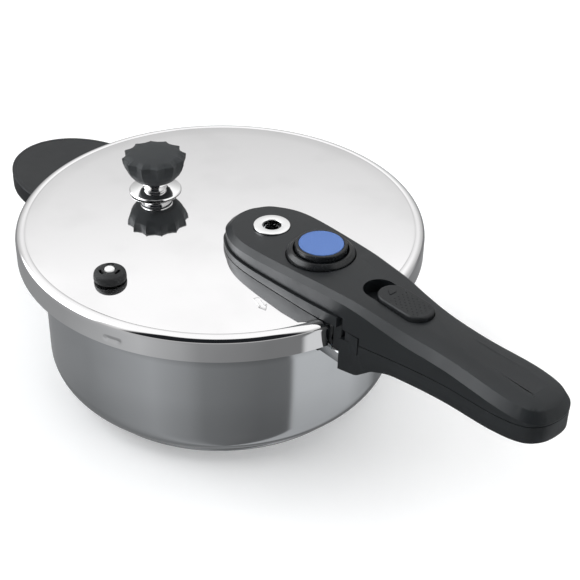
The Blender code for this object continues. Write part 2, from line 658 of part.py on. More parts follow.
def lid_handle_cover():
    """The lid handle's upper shell, hollow underneath, with the slide's slot and the tab's notch."""
    low, start, end = TIER_BOTTOM + TIER_HEIGHT + GAP, HEAD_X, HANDLE_END + 0.01
    side = [(0.01, low), (start, low), (start, parting_z(start)), (end, parting_z(end))]
    side += [(end, HANDLE_TOP - 0.0020), (HANDLE_END - 0.0260, HANDLE_TOP)]
    side += [(HANDLE_CREST, HANDLE_TOP), (0.01, cover_top(0.01))]
    cover = outline("lid_handle_cover", handle_plan(), DEEP, HIGH, black_phenolic(), smooth=True)
    join(cover, outline("cover_side", side, -FAR, FAR, None, "XZ"), "INTERSECT")
    soften(cover, COVER_EDGE)
    under = HANDLE_TOP - HANDLE_WALL
    hollow = outline("cover_hollow", handle_plan(-HANDLE_WALL), DEEP + 0.001, HIGH, None, smooth=True)
    roof = [(0.01, DEEP), (end, DEEP), (end, under), (HANDLE_CREST, under), (0.01, cover_top(0.01) - HANDLE_WALL)]
    join(hollow, outline("cover_hollow_side", roof, -FAR, FAR, None, "XZ"), "INTERSECT")
    cut(cover, hollow)
    for index, x in enumerate(HANDLE_SCREWS):
        low = parting_z(x) + FLOOR_THICKNESS + 0.0014
        boss = turned(f"cover_boss_{index}", disc_profile(0.0050, low, under + 0.002), None, (x, 0))
        join(cover, boss, "UNION")
        hole(cover, f"cover_boss_bore_{index}", SCREW_RADIUS + GAP, DEEP, low + 0.0090, (x, 0), 16)
    hole(cover, "ferrule_way", STUD_RADIUS + 2 * GAP, DEEP, HIGH, (FERRULE_X, 0))
    hole(cover, "ferrule_seat", FERRULE_RADIUS + GAP, cover_top(FERRULE_X) - FERRULE_SEAT, HIGH, (FERRULE_X, 0))
    hole(cover, "bezel_way", BEZEL_RADIUS + GAP, DEEP, HIGH, (INDICATOR_X, 0), 28)
    slot = stadium(SLOT_START, SLIDER_END + RUN, SLIDER_RADIUS + RUN)
    cut(cover, outline("slide_slot", slot, BAR_Z, HIGH, None))
    half = handle_half_width(TAB_START)
    cut(cover, box("tab_notch", (HEAD_X - 0.001, -half - 0.01, DEEP),
                   (TAB_END + 0.0006, -half + TAB_THICKNESS + 0.0008, TAB_TOP + 0.0006), None))


def handle_screws():
    """Two screws hold the grip's floor to the bosses in the cover."""
    for index, x in enumerate(HANDLE_SCREWS):
        under = parting_z(x) - 0.0002
        head, end = under + 0.0011, under + 0.0115
        profile = [(0, end), (SCREW_RADIUS, end), (SCREW_RADIUS, head), (SCREW_HEAD - GAP, head)]
        profile += [(SCREW_HEAD - GAP, under), (0, under)]
        turned(f"handle_screw_{index + 1}", profile, satin_steel(), (x, 0), 16)


def handle_stud():
    """The hollow bolt that holds the handle on the lid, with its seal, nut and bright ferrule."""
    at = (FERRULE_X, 0)
    under = plate_z(FERRULE_X) - STEEL_WALL
    seal_high = under - 2 * GAP
    seal_low = seal_high - WASHER
    head = seal_low - GAP
    top = cover_top(FERRULE_X) - 0.007
    seal = ring_profile(STUD_HEAD + 0.0005, STUD_RADIUS + GAP, seal_low, seal_high)
    turned("stud_seal", seal, silicone(), at)
    profile = [(STUD_RADIUS, top), (STUD_RADIUS, head), (STUD_HEAD, head), (STUD_HEAD, head - 0.0022)]
    profile += [(STUD_BORE, head - 0.0022), (STUD_BORE, top)]
    turned("handle_stud", profile, satin_steel(), at)
    nut_low = TIER_BOTTOM + TIER_HEIGHT + GAP
    hex_nut("stud_nut", STUD_HEAD + 0.0005, STUD_RADIUS + GAP, nut_low, nut_low + 0.004, at)
    low = cover_top(FERRULE_X) - FERRULE_SEAT + GAP
    high = low + FERRULE_SEAT + 0.0010
    profile = [(FERRULE_RADIUS - 0.0004, high), (FERRULE_RADIUS, high - 0.0005), (FERRULE_RADIUS, low)]
    profile += [(STUD_RADIUS + GAP, low), (STUD_RADIUS + GAP, top + GAP), (FERRULE_BORE, top + GAP)]
    profile += [(FERRULE_BORE, high - 0.0006), (FERRULE_BORE + 0.0006, high)]
    turned("ferrule", profile, polished_steel(), at)


# ---------------------------------------------------------------- the pressure indicator
def indicator_levels():
    """Heights shared by the indicator's pieces."""
    floor_low = HANDLE_TOP - 0.0042
    return {"floor_low": floor_low, "floor_high": floor_low + 0.0010, "cap_top": HANDLE_TOP + 0.0062,
            "shoulder": TIER_BOTTOM + TIER_HEIGHT + 0.0012}


def indicator():
    """A rod through the lid lifts the cap with the blue disc; a spring under the bezel pushes it back."""
    at, level = (INDICATOR_X, 0), indicator_levels()
    under = plate_z(INDICATOR_X + 0.0080) - STEEL_WALL
    wall = COLLAR_RADIUS + RUN
    way = INDICATOR_ROD + 0.0008
    high = HANDLE_TOP + 0.0030
    profile = [(BEZEL_RADIUS - 0.0022, high), (BEZEL_RADIUS, high - 0.0014)]
    profile += [(BEZEL_RADIUS, level["floor_low"]), (way, level["floor_low"])]
    profile += [(way, level["floor_high"]), (wall, level["floor_high"]), (wall, high)]
    turned("indicator_bezel", profile, black_phenolic(), at, 28)

    top, socket = level["cap_top"], level["cap_top"] - 0.0026
    recess = top - 0.0012
    skirt_low = level["floor_high"] + GAP
    bore = INDICATOR_ROD + GAP
    inside = COLLAR_RADIUS - 0.0016
    profile = [(0, recess), (DISC_RADIUS + GAP, recess), (DISC_RADIUS + GAP, top)]
    profile += [(COLLAR_RADIUS - 0.0008, top), (COLLAR_RADIUS, top - 0.0008), (COLLAR_RADIUS, skirt_low)]
    profile += [(inside, skirt_low)]
    profile += [(inside, top - 0.0034), (0.0050, top - 0.0034), (0.0050, skirt_low), (bore, skirt_low)]
    profile += [(bore, socket), (0, socket)]
    turned("indicator_cap", profile, black_phenolic(), at, 28)
    turned("indicator_disc", disc_profile(DISC_RADIUS, recess + GAP, top + 0.0002), blue_plastic(), at, 28)

    shoulder = level["shoulder"]
    collar_high = shoulder + 0.0010
    seal_low = under - 0.0030
    stop = seal_low - GAP - INDICATOR_TRAVEL - 0.0006  # keeps the rod in the lid at the top of its travel
    profile = [(0, socket - GAP), (INDICATOR_ROD, socket - GAP), (INDICATOR_ROD, collar_high)]
    profile += [(0.0056, collar_high), (0.0056, shoulder), (INDICATOR_ROD, shoulder), (INDICATOR_ROD, stop)]
    profile += [(0.0036, stop), (0.0036, stop - 0.0014), (0, stop - 0.0014)]
    turned("indicator_rod", profile, satin_steel(), at)

    sleeve_low = plate_z(INDICATOR_X - 0.0065) + GAP
    sleeve_high = sleeve_low + 0.0015
    profile = [(0.0065, sleeve_high), (0.0065, sleeve_low), (INDICATOR_SLEEVE, sleeve_low)]
    profile += [(INDICATOR_SLEEVE, under - GAP), (0.0080, under - GAP), (0.0080, seal_low), (bore, seal_low)]
    profile += [(bore, sleeve_high)]
    turned("indicator_seal", profile, silicone(), at)
    spring("indicator_spring", at, collar_high + GAP, level["floor_low"] - GAP, 3)


def spring(name, at, low, high, turns):
    """A coil spring as a bevelled curve."""
    curve = bpy.data.curves.new(name, "CURVE")
    curve.dimensions = "3D"
    curve.bevel_depth = SPRING_WIRE
    curve.bevel_resolution = 1
    curve.use_fill_caps = True
    spline = curve.splines.new("POLY")
    count = turns * 12
    spline.points.add(count)
    for index, point in enumerate(spline.points):
        angle = 2 * math.pi * index / 12
        out = SPRING_RADIUS * Vector((math.cos(angle), math.sin(angle)))
        height = low + SPRING_WIRE + (high - low - 2 * SPRING_WIRE) * index / count
        point.co = (at[0] + out.x, at[1] + out.y, height, 1)
    made = bpy.data.objects.new(name, curve)
    PARTS.objects.link(made)
    curve.materials.append(satin_steel())


# ---------------------------------------------------------------- the lock
def tongue_y():
    """Where the tongue runs: just inside the cover's wall at its widest arm."""
    return -(handle_half_width(TONGUE_ARM_END) - HANDLE_WALL - RUN - TONGUE / 2)


def lock_slide():
    """The slide button, and under it the bar whose tongue goes through the tab's eyelet."""
    under = HANDLE_TOP - HANDLE_WALL
    bar_high = BAR_Z + BAR_THICKNESS
    top = HANDLE_TOP + SLIDER_HEIGHT
    plan = stadium(SLIDER_START, SLIDER_END, SLIDER_RADIUS)
    button = outline("slide_button", plan, bar_high + GAP, top, black_phenolic())
    soften(button, 0.0010)
    screw_x = (SLIDER_START + SLIDER_END) / 2
    hole(button, "button_screw_way", SLIDE_SCREW + GAP, DEEP, under, (screw_x, 0), 16)

    bar = box("latch_bar", (SLIDER_START + 0.002, -BAR_HALF_WIDTH, BAR_Z),
              (SLIDER_END + 0.004, BAR_HALF_WIDTH, bar_high), satin_steel())
    near, far = tongue_y() - TONGUE / 2, tongue_y() + TONGUE / 2
    arm = box("latch_arm", (TONGUE_ARM_START, near, BAR_Z), (TONGUE_ARM_END, 0, bar_high), None)
    drop = box("latch_drop", (TONGUE_ARM_START, near, TONGUE_Z),
               (TONGUE_ARM_END, far, BAR_Z + BAR_THICKNESS / 2), None)
    tongue = box("latch_tongue", (TAB_END + 0.0012, near + 0.00005, TONGUE_Z - TONGUE / 2),
                 (TONGUE_ARM_START + 0.0010, far - 0.00005, TONGUE_Z + TONGUE / 2), None)
    for piece in (arm, drop, tongue):
        join(bar, piece, "UNION")
    hole(bar, "bar_screw_way", SLIDE_SCREW + GAP, DEEP, HIGH, (screw_x, 0), 16)
    profile = [(0, under - 0.0004), (SLIDE_SCREW, under - 0.0004), (SLIDE_SCREW, BAR_Z - GAP)]
    profile += [(2 * SLIDE_SCREW, BAR_Z - GAP), (2 * SLIDE_SCREW, BAR_Z - 0.0018), (0, BAR_Z - 0.0018)]
    turned("slide_screw", profile, satin_steel(), (screw_x, 0), 16)


# ---------------------------------------------------------------- the regulator valve
def regulator():
    """A seat through the lid, a needle weight that lifts on it and the knob that turns on the weight."""
    at = VALVE_PLACE.xy
    under = plate_z(at.length + 0.0100) - STEEL_WALL
    flange_low = plate_z(at.length - 0.0168) + GAP
    seat_top = flange_low + 0.0100
    seat_low = under - 0.0075
    profile = [(0.0034, seat_top), (0.0042, seat_top - 0.0008), (0.0046, flange_low + 0.0052)]
    profile += [(0.0090, flange_low + 0.0028), (0.0165, flange_low + 0.0010), (0.0168, flange_low)]
    profile += [(VALVE_NECK, flange_low), (VALVE_NECK, seat_low), (VALVE_BORE, seat_low)]
    profile += [(VALVE_BORE, seat_top - 0.0012)]
    turned("valve_seat", profile, polished_steel(), at, 28)
    washer_high = under - GAP
    washer_low = washer_high - WASHER
    turned("valve_washer", ring_profile(0.0100, VALVE_NECK + GAP, washer_low, washer_high), silicone(), at)
    nut_high = washer_low - GAP
    hex_nut("valve_nut", 0.0092, VALVE_NECK + GAP, nut_high - 0.0035, nut_high, at)

    weight_low = flange_low + 0.0058
    weight_top = weight_low + 0.0190
    socket = 0.0052
    step = weight_top - 0.0030
    profile = [(0, weight_top), (0.0050, weight_top), (0.0050, step), (0.0100, step)]
    profile += [(0.0100, weight_low + 0.0030), (0.0062, weight_low), (socket, weight_low)]
    profile += [(socket, seat_top + GAP), (VALVE_BORE - GAP, seat_top + GAP), (0.0006, seat_top - 0.0030)]
    profile += [(0, seat_top - 0.0040)]
    turned("regulator_weight", profile, satin_steel(), at, 28)

    knob_low, knob_high = weight_low + 0.0022, weight_low + 0.0205
    bore, socket, inside = 0.0104, 0.0054, step + 0.0004
    profile = [(0, knob_high + 0.0012), (0.0090, knob_high + 0.0008), (0.0150, knob_high)]
    profile += [(KNOB_RADIUS - 0.0012, knob_high - 0.0022), (KNOB_RADIUS, knob_high - 0.0062)]
    profile += [(0.0172, knob_high - 0.0112), (0.0142, knob_low + 0.0008), (0.0130, knob_low)]
    profile += [(bore, knob_low), (bore, inside)]
    profile += [(socket, inside), (socket, weight_top + GAP), (0, weight_top + GAP)]
    knob = turned("regulator_knob", profile, black_rubber(), at, 36)
    for index in range(KNOB_SCALLOPS):
        angle = 2 * math.pi * (index + 0.5) / KNOB_SCALLOPS
        spot = at + Vector((math.cos(angle), math.sin(angle))) * (KNOB_RADIUS + 0.0018)
        hole(knob, f"knob_scallop_{index}", 0.0040, knob_high - 0.0120, knob_high + 0.005, spot, 12)


# ---------------------------------------------------------------- the safety valve
def safety_valve():
    """A rubber plug in the lid with a pin that lifts when the pressure is too high."""
    at = SAFETY_PLACE.xy
    under = plate_z(at.length + 0.0086) - STEEL_WALL
    low = plate_z(at.length - SAFETY_RADIUS) + GAP
    bore = SAFETY_PIN + GAP
    profile = [(bore + 0.0008, low + 0.0062), (0.0065, low + 0.0060), (0.0092, low + 0.0042)]
    profile += [(SAFETY_RADIUS, low + 0.0014), (SAFETY_RADIUS, low), (SAFETY_NECK, low)]
    profile += [(SAFETY_NECK, under - GAP), (0.0086, under - GAP), (0.0080, under - 0.0030)]
    profile += [(bore, under - 0.0030), (bore, low + 0.0056)]
    turned("safety_grommet", profile, black_rubber(), at, 20)
    top = low + 0.0070
    flange = under - 0.0030 - GAP - SAFETY_TRAVEL
    profile = [(0, top), (SAFETY_PIN - 0.0006, top), (SAFETY_PIN, top - 0.0006), (SAFETY_PIN, flange)]
    profile += [(0.0052, flange), (0.0052, flange - 0.0014), (0, flange - 0.0014)]
    turned("safety_pin", profile, white_pin(), at, 20)


def main():
    clear_scene()
    pan_body()
    sandwich_base()
    pan_bracket()
    pan_handle()
    flame_guard()
    helper_handle()
    sealing_ring()
    lid_shell()
    lid_handle_base()
    lid_handle_cover()
    handle_screws()
    handle_stud()
    indicator()
    lock_slide()
    regulator()
    safety_valve()


main()
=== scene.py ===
"""A stovetop pressure cooker on a pale studio floor.

The file follows the cooker as it is put together: the sandwich base, the pan, its long handle and its helper
handle, the seal, the lid, the lid's handle with its bolt, indicator and lock, the regulator, the safety
valve, and last the studio.
"""
import math

import bpy
from mathutils import Matrix, Vector


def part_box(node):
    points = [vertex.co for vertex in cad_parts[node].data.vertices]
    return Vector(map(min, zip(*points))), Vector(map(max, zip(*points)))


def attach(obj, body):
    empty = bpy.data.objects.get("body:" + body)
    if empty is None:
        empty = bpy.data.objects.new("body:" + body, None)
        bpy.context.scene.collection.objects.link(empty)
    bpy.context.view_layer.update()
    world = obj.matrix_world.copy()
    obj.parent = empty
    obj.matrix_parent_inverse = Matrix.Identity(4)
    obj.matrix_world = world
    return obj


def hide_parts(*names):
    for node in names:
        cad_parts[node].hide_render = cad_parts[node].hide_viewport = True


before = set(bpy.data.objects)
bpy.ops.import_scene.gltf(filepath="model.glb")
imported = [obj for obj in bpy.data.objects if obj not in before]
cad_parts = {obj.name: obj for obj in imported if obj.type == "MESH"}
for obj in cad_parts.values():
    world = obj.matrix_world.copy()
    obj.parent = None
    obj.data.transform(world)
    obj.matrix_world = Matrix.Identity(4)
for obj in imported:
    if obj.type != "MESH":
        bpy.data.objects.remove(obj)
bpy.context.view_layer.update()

# ------------------------------------------------------------------ the sandwich base
# A thick aluminium disc under the pan spreads the heat. A thin steel cap is pressed over it, and its edge is
# rounded up against the pan's corner. The steel is drawn sheet, polished round the axis.


class Shade:
    """A value in a shader. Arithmetic on it adds Math nodes to its tree."""

    def __init__(self, tree, socket=None):
        self.tree, self.socket = tree, socket

    def add(self, kind, settings=None, inputs=None, output=0):
        node = self.tree.nodes.new(kind)
        for key, value in (settings or {}).items():
            if key == "stops":
                stops = node.color_ramp.elements
                stops[0].position, stops[-1].position = value[0][0], value[-1][0]
                stops[0].color, stops[-1].color = (*value[0][1], 1), (*value[-1][1], 1)
                for place, tone in value[1:-1]:
                    stops.new(place).color = (*tone, 1)
            else:
                setattr(node, key, value)
        for key, value in (inputs or {}).items():
            if isinstance(value, Shade):
                self.tree.links.new(value.socket, node.inputs[key])
            else:
                node.inputs[key].default_value = value
        return Shade(self.tree, node.outputs[output])

    def math(self, operation, *values, clamp=False):
        inputs = dict(enumerate((self, *values)))
        return self.add("ShaderNodeMath", {"operation": operation, "use_clamp": clamp}, inputs)

    def __add__(self, other):
        return self.math("ADD", other)

    __radd__ = __add__

    def __mul__(self, other):
        return self.math("MULTIPLY", other)

    __rmul__ = __mul__

    def __sub__(self, other):
        return self.math("SUBTRACT", other)

    def __rsub__(self, other):
        return (self * -1.0).math("ADD", other)

    def __truediv__(self, other):
        return self.math("DIVIDE", other)

    def step(self, low, high):
        """0 below low, 1 above high and smooth between them."""
        return self.add("ShaderNodeMapRange", {"interpolation_type": "SMOOTHSTEP"},
                        {"Value": self, "From Min": low, "From Max": high})

    def blend(self, other, share):
        """This colour where share is 0, the other where it is 1."""
        return self.add("ShaderNodeMix", {"data_type": "RGBA"}, {0: share, 6: self, 7: other}, 2)


def new_finish(name, metallic=0.0, **sockets):
    """A material with its shader, and a Shade that starts its patterns."""
    made = bpy.data.materials.new(name)
    made.use_nodes = True
    shader = made.node_tree.nodes["Principled BSDF"]
    shader.inputs["Metallic"].default_value = metallic
    for key, value in sockets.items():
        shader.inputs[key.replace("_", " ")].default_value = value
    return made, shader, Shade(made.node_tree)


def pattern(start, size, scale=(1, 1, 1), detail=2.0):
    """Noise in the piece's own place, with the size of its spots in metres."""
    place = start.add("ShaderNodeTexCoord", output=3)
    spot = start.add("ShaderNodeMapping", {}, {"Vector": place, "Scale": scale})
    return start.add("ShaderNodeTexNoise", {}, {"Vector": spot, "Scale": 1 / size, "Detail": detail})


def feed(shader, **links):
    for key, value in links.items():
        value.tree.links.new(value.socket, shader.inputs[key.replace("_", " ")])


def steel_finish(name, tone, roughness, streak, streak_scale):
    """Polished or satin steel: fine marks one way, cloudy wiping marks and a very slight ripple."""
    made, shader, start = new_finish(name, 1.0)
    marks = pattern(start, 0.004, streak_scale, 4.0)
    clouds = pattern(start, 0.035)
    spots = pattern(start, 0.0025, detail=1.0)
    dull = tuple(0.96 * value for value in tone)
    colour = start.add("ShaderNodeRGB")
    colour.socket.default_value = (*tone, 1)
    darker = start.add("ShaderNodeRGB")
    darker.socket.default_value = (*dull, 1)
    feed(shader, Base_Color=colour.blend(darker, clouds.step(0.45, 0.75)))
    feed(shader, Roughness=roughness + (marks - 0.5) * streak + (clouds - 0.5) * (roughness * 0.25))
    bump = start.add("ShaderNodeBump", {}, {"Height": marks + spots * 0.3, "Strength": 0.05, "Distance": 0.00004})
    feed(shader, Normal=bump)
    return made


def corner(before, at, after, radius, steps):
    """The points of a fillet at one corner of an outline, or the corner itself."""
    one, two = Vector(before) - Vector(at), Vector(after) - Vector(at)
    if radius <= 0 or one.length < 1e-7 or two.length < 1e-7:
        return [tuple(at)]
    half = one.angle(two) / 2
    if half < 0.02 or half > math.pi / 2 - 0.01:
        return [tuple(at)]
    reach = min(radius / math.tan(half), one.length * 0.49, two.length * 0.49)
    radius = reach * math.tan(half)
    first, last = Vector(at) + one.normalized() * reach, Vector(at) + two.normalized() * reach
    centre = Vector(at) + (one.normalized() + two.normalized()).normalized() * (radius / math.sin(half))
    found = []
    for step in range(steps + 1):
        share = step / steps
        spoke = ((first - centre) * (1 - share) + (last - centre) * share).normalized()
        turn = (first - centre).angle(last - centre)
        lean = math.tan((share - 0.5) * turn) / math.tan(turn / 2) if turn > 1e-6 else 2 * share - 1
        spoke = ((first - centre) * (1 - lean) / 2 + (last - centre) * (1 + lean) / 2).normalized()
        found.append(tuple(centre + spoke * radius))
    return found


def rounded(points, radius, steps=4, closed=False):
    """An outline of (a, b) or (a, b, own radius) with its corners rounded."""
    flat = [point[:2] for point in points]
    found = []
    for index, point in enumerate(points):
        if not closed and index in (0, len(points) - 1):
            found.append(tuple(point[:2]))
            continue
        own = point[2] if len(point) > 2 else radius
        found += corner(flat[index - 1], flat[index], flat[(index + 1) % len(flat)], own, steps)
    return found


def draw(points, close):
    """Draws a line of points in the open scene, by extruding a single point. It ends in edit mode."""
    bpy.ops.object.select_all(action="DESELECT")
    bpy.ops.mesh.primitive_plane_add(size=0.001, location=(0, 0, 0))
    piece = bpy.context.object
    bpy.ops.object.mode_set(mode="EDIT")
    bpy.ops.mesh.select_mode(type="VERT")
    bpy.ops.mesh.select_all(action="SELECT")
    bpy.ops.mesh.merge(type="CENTER")
    bpy.ops.transform.translate(value=points[0])
    for near, far in zip(points, points[1:]):
        step = tuple(b - a for a, b in zip(near, far))
        bpy.ops.mesh.extrude_region_move(TRANSFORM_OT_translate={"value": step})
    bpy.ops.mesh.select_all(action="SELECT")
    if close:
        bpy.ops.mesh.edge_face_add()
    return piece


def finish_mesh(piece, name, angle=32):
    """Merges doubles, points the faces outwards and shades them smooth up to an angle."""
    bpy.ops.mesh.select_all(action="SELECT")
    bpy.ops.mesh.remove_doubles(threshold=0.000002)
    bpy.ops.mesh.normals_make_consistent(inside=False)
    bpy.ops.object.mode_set(mode="OBJECT")
    bpy.ops.object.shade_smooth_by_angle(angle=math.radians(angle))
    piece.name = name
    return piece


def lathe(name, profile, at=(0, 0), steps=96, angle=32):
    """A half section of (radius, height) spun round an upright axis."""
    if profile[0][0] > 0:
        profile = profile + [profile[0]]
    piece = draw([(at[0] + radius, at[1], height) for radius, height in profile], False)
    bpy.ops.mesh.spin(steps=steps, angle=2 * math.pi, center=(*at, 0), axis=(0, 0, 1))
    return finish_mesh(piece, name, angle)


def wear(piece, body, slot, finish, *nodes):
    """Gives a piece its material and its body, and hides the CAD solids it stands for. The slot is not used."""
    piece.data.materials.clear()
    piece.data.materials.append(finish)
    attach(piece, body)
    if nodes:
        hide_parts(*nodes)
    return piece


def coat(finish, *nodes):
    """A new material on CAD solids that stay as they are."""
    for node in nodes:
        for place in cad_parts[node].material_slots:
            place.material = finish


low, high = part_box("base_cap")
base_radius, cap_edge, cap_wall = high.x, 0.0055, 0.0006
pan_steel = steel_finish("pan_steel", (0.66, 0.675, 0.69), 0.10, 0.05, (1, 1, 14))
arc_steps = 8
cap = [(0, cap_wall)]
for step in range(arc_steps + 1):
    turn = math.radians(-90 + 90 * step / arc_steps)
    reach = cap_edge - cap_wall
    cap.append((base_radius - cap_edge + reach * math.cos(turn), cap_edge + reach * math.sin(turn)))
cap += [(base_radius - cap_wall, high.z), (base_radius, high.z)]
for step in range(arc_steps + 1):
    turn = math.radians(-90 * step / arc_steps)
    cap.append((base_radius - cap_edge + cap_edge * math.cos(turn), cap_edge + cap_edge * math.sin(turn)))
cap.append((0, 0))
wear(lathe("base_cap_steel", cap, steps=192), "pan", "satin_steel", pan_steel, "base_cap")
core_finish = steel_finish("core_aluminium", (0.62, 0.62, 0.63), 0.4, 0.1, (1, 1, 1))
coat(core_finish, "base_core")

# ------------------------------------------------------------------ the pan
# A deep-drawn steel pan with a wide rounded corner. Its rim is turned out into a flange with six bayonet lugs,
# which the lid's lugs run under. The outside is polished to a soft shine.
low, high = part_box("pan_body")
pan_radius, pan_corner, sheet = 0.112, 0.018, 0.001
rim_z, flange_thickness = high.z, 0.0012
flange_radius, lug_radius = pan_radius + 0.005, high.y
lug_count, lug_half, lug_first = 6, 12, -37  # angles in degrees, of the pan's and the lid's lugs
pan_profile = [(0, low.z + sheet)]
for step in range(13):
    turn = math.radians(-90 + 90 * step / 12)
    reach = pan_corner - sheet
    pan_profile.append((pan_radius - pan_corner + reach * math.cos(turn), low.z + pan_corner + reach * math.sin(turn)))
pan_profile += [(pan_radius - sheet, rim_z - 0.0014), (pan_radius - sheet + 0.0004, rim_z - 0.0004)]
pan_profile += [(pan_radius + 0.0001, rim_z), (flange_radius - 0.0002, rim_z)]
pan_profile += [(flange_radius, rim_z - 0.0002), (flange_radius, rim_z - flange_thickness + 0.0002)]
pan_profile += [(flange_radius - 0.0002, rim_z - flange_thickness), (pan_radius + 0.0012, rim_z - flange_thickness)]
pan_profile += [(pan_radius + 0.0003, rim_z - flange_thickness - 0.0004), (pan_radius, rim_z - flange_thickness - 0.0013)]
pan_profile += [(pan_radius, rim_z - 0.02), (pan_radius, rim_z - 0.045)]
for step in range(17):
    turn = math.radians(-90 * step / 16)
    pan_profile.append((pan_radius - pan_corner + pan_corner * math.cos(turn), low.z + pan_corner + pan_corner * math.sin(turn)))
pan_profile.append((0, low.z))


def in_lug(x, y):
    """True at an angle where there is a bayonet lug."""
    pitch = 360 / lug_count
    away = (math.degrees(math.atan2(y, x)) - lug_first + pitch / 2) % pitch - pitch / 2
    return abs(away) < lug_half


def pick_faces(piece, wanted):
    """Selects the faces that a test picks out, and opens the piece in edit mode with just them."""
    bpy.ops.object.select_all(action="DESELECT")
    bpy.context.view_layer.objects.active = piece
    piece.select_set(True)
    bpy.ops.object.mode_set(mode="EDIT")
    bpy.ops.mesh.select_mode(type="FACE")
    bpy.ops.mesh.select_all(action="DESELECT")
    bpy.ops.object.mode_set(mode="OBJECT")
    for face in piece.data.polygons:
        face.select = bool(wanted(face.center, face.normal))
    bpy.ops.object.mode_set(mode="EDIT")


pan = lathe("pan_steel_body", pan_profile, steps=360)
pick_faces(pan, lambda spot, normal: spot.xy.length > flange_radius - 0.0003 and normal.xy.length > 0.9
           and in_lug(spot.x, spot.y))
bpy.ops.mesh.extrude_region()
grow = lug_radius / flange_radius
bpy.ops.transform.resize(value=(grow, grow, 1), center_override=(0, 0, rim_z))
pan = finish_mesh(pan, "pan_steel_body")
wear(pan, "pan", "satin_steel", pan_steel, "pan_body")

# ------------------------------------------------------------------ the pan's long handle
# A bar welded to the pan's wall carries the lower handle, behind a bright steel guard that keeps the flame off
# the plastic. The handle is moulded phenolic: a deep head at the pan, a slender arm and a tab at the lid's notch.
guard_steel = steel_finish("guard_steel", (0.60, 0.61, 0.62), 0.22, 0.1, (1, 1, 1))
dark_rubber, shader, start = new_finish("dark_rubber")
grain = pattern(start, 0.0006)
feed(shader, Base_Color=start.add("ShaderNodeValToRGB", {"stops": [(0.3, (0.010, 0.011, 0.012)), (0.7, (0.018, 0.019, 0.020))]},
                                  {"Fac": grain}))
feed(shader, Roughness=0.62 + (grain - 0.5) * 0.2)
feed(shader, Normal=start.add("ShaderNodeBump", {}, {"Height": grain, "Strength": 0.25, "Distance": 0.00006}))


def phenolic_finish(name, dark, light, roughness, grain_size):
    """Moulded phenolic: a fine spark-eroded grain, cloudy sheen and a few paler rubbed spots."""
    made, shader, start = new_finish(name, Specular_IOR_Level=0.4)
    grain = pattern(start, grain_size, detail=3.0)
    clouds = pattern(start, 0.03)
    rubbed = pattern(start, 0.007, detail=5.0)
    feed(shader, Base_Color=start.add("ShaderNodeValToRGB", {"stops": [(0.25, dark), (0.8, light)]},
                                      {"Fac": clouds * 0.6 + rubbed * 0.25 + grain * 0.15}))
    feed(shader, Roughness=roughness + (clouds - 0.5) * 0.16 + (rubbed - 0.5) * 0.12)
    feed(shader, Normal=start.add("ShaderNodeBump", {}, {"Height": grain, "Strength": 0.22, "Distance": 0.00005}))
    return made


phenolic = phenolic_finish("handle_phenolic", (0.007, 0.0085, 0.0100), (0.013, 0.0155, 0.0175), 0.40, 0.00035)
coat(guard_steel, "pan_bracket", "pan_handle_screw")
coat(dark_rubber, "guard_gasket")


def modify(piece, kind, **settings):
    """Adds a modifier and applies it."""
    bpy.ops.object.select_all(action="DESELECT")
    bpy.context.view_layer.objects.active = piece
    piece.select_set(True)
    change = piece.modifiers.new(kind.lower(), kind)
    for key, value in settings.items():
        setattr(change, key, value)
    bpy.ops.object.modifier_apply(modifier=change.name)


def carve(piece, tool, operation="DIFFERENCE"):
    """Applies a Boolean with a tool, which is then thrown away."""
    modify(piece, "BOOLEAN", object=tool, operation=operation, solver="EXACT")
    bpy.data.objects.remove(tool, do_unlink=True)


def ease(piece, name, width, segments=2, angle=32):
    """Rounds the sharp edges of a moulding and shades it."""
    modify(piece, "BEVEL", width=width, segments=segments, limit_method="ANGLE", angle_limit=math.radians(angle),
           use_clamp_overlap=True)
    bpy.ops.object.mode_set(mode="EDIT")
    return finish_mesh(piece, name, 30)


def slab(points, low, high, plane="XY"):
    """A flat outline with thickness: drawn, filled and extruded."""
    if plane == "XY":
        corners, depth = [(x, y, low) for x, y in points], (0, 0, high - low)
    else:
        corners, depth = [(x, low, z) for x, z in points], (0, high - low, 0)
    piece = draw(corners + [corners[0]], False)
    bpy.ops.mesh.remove_doubles(threshold=0.000002)
    bpy.ops.mesh.edge_face_add()
    bpy.ops.mesh.extrude_region_move(TRANSFORM_OT_translate={"value": depth})
    return finish_mesh(piece, "slab", 30)


def block(low, high):
    """A box between two corners, as a cutter."""
    middle = [(a + b) / 2 for a, b in zip(low, high)]
    bpy.ops.object.select_all(action="DESELECT")
    bpy.ops.mesh.primitive_cube_add(size=1, location=middle)
    piece = bpy.context.object
    piece.scale = [b - a for a, b in zip(low, high)]
    bpy.ops.object.transform_apply(location=True, rotation=False, scale=True)
    return piece


def through(spline):
    """A smooth closed line through an outline's points, eight steps between each pair."""
    found = []
    count = len(spline)
    for index in range(count):
        before, near, far, after = (Vector(spline[(index + move) % count]) for move in (-1, 0, 1, 2))
        for step in range(8):
            t = step / 8
            spot = near * 2 + (far - before) * t + (before * 2 - near * 5 + far * 4 - after) * t ** 2
            spot += (near * 3 - before - far * 3 + after) * t ** 3
            found.append(tuple(spot / 2))
    return found


handle_low, handle_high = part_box("lid_handle_cover")
handle_start, handle_end = handle_low.x, handle_high.x
lid_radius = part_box("lid_shell")[1].x
half_widths = [(handle_start + 0.0020, 0.0094), (handle_start + 0.0100, 0.0202), (handle_start + 0.0320, 0.0285),
               (lid_radius - 0.0320, 0.0272), (lid_radius + 0.0080, 0.0232), (lid_radius + 0.0480, 0.0192),
               (handle_end - 0.0610, 0.0180), (handle_end - 0.0280, 0.0196), (handle_end - 0.0100, 0.0174),
               (handle_end - 0.0022, 0.0104)]


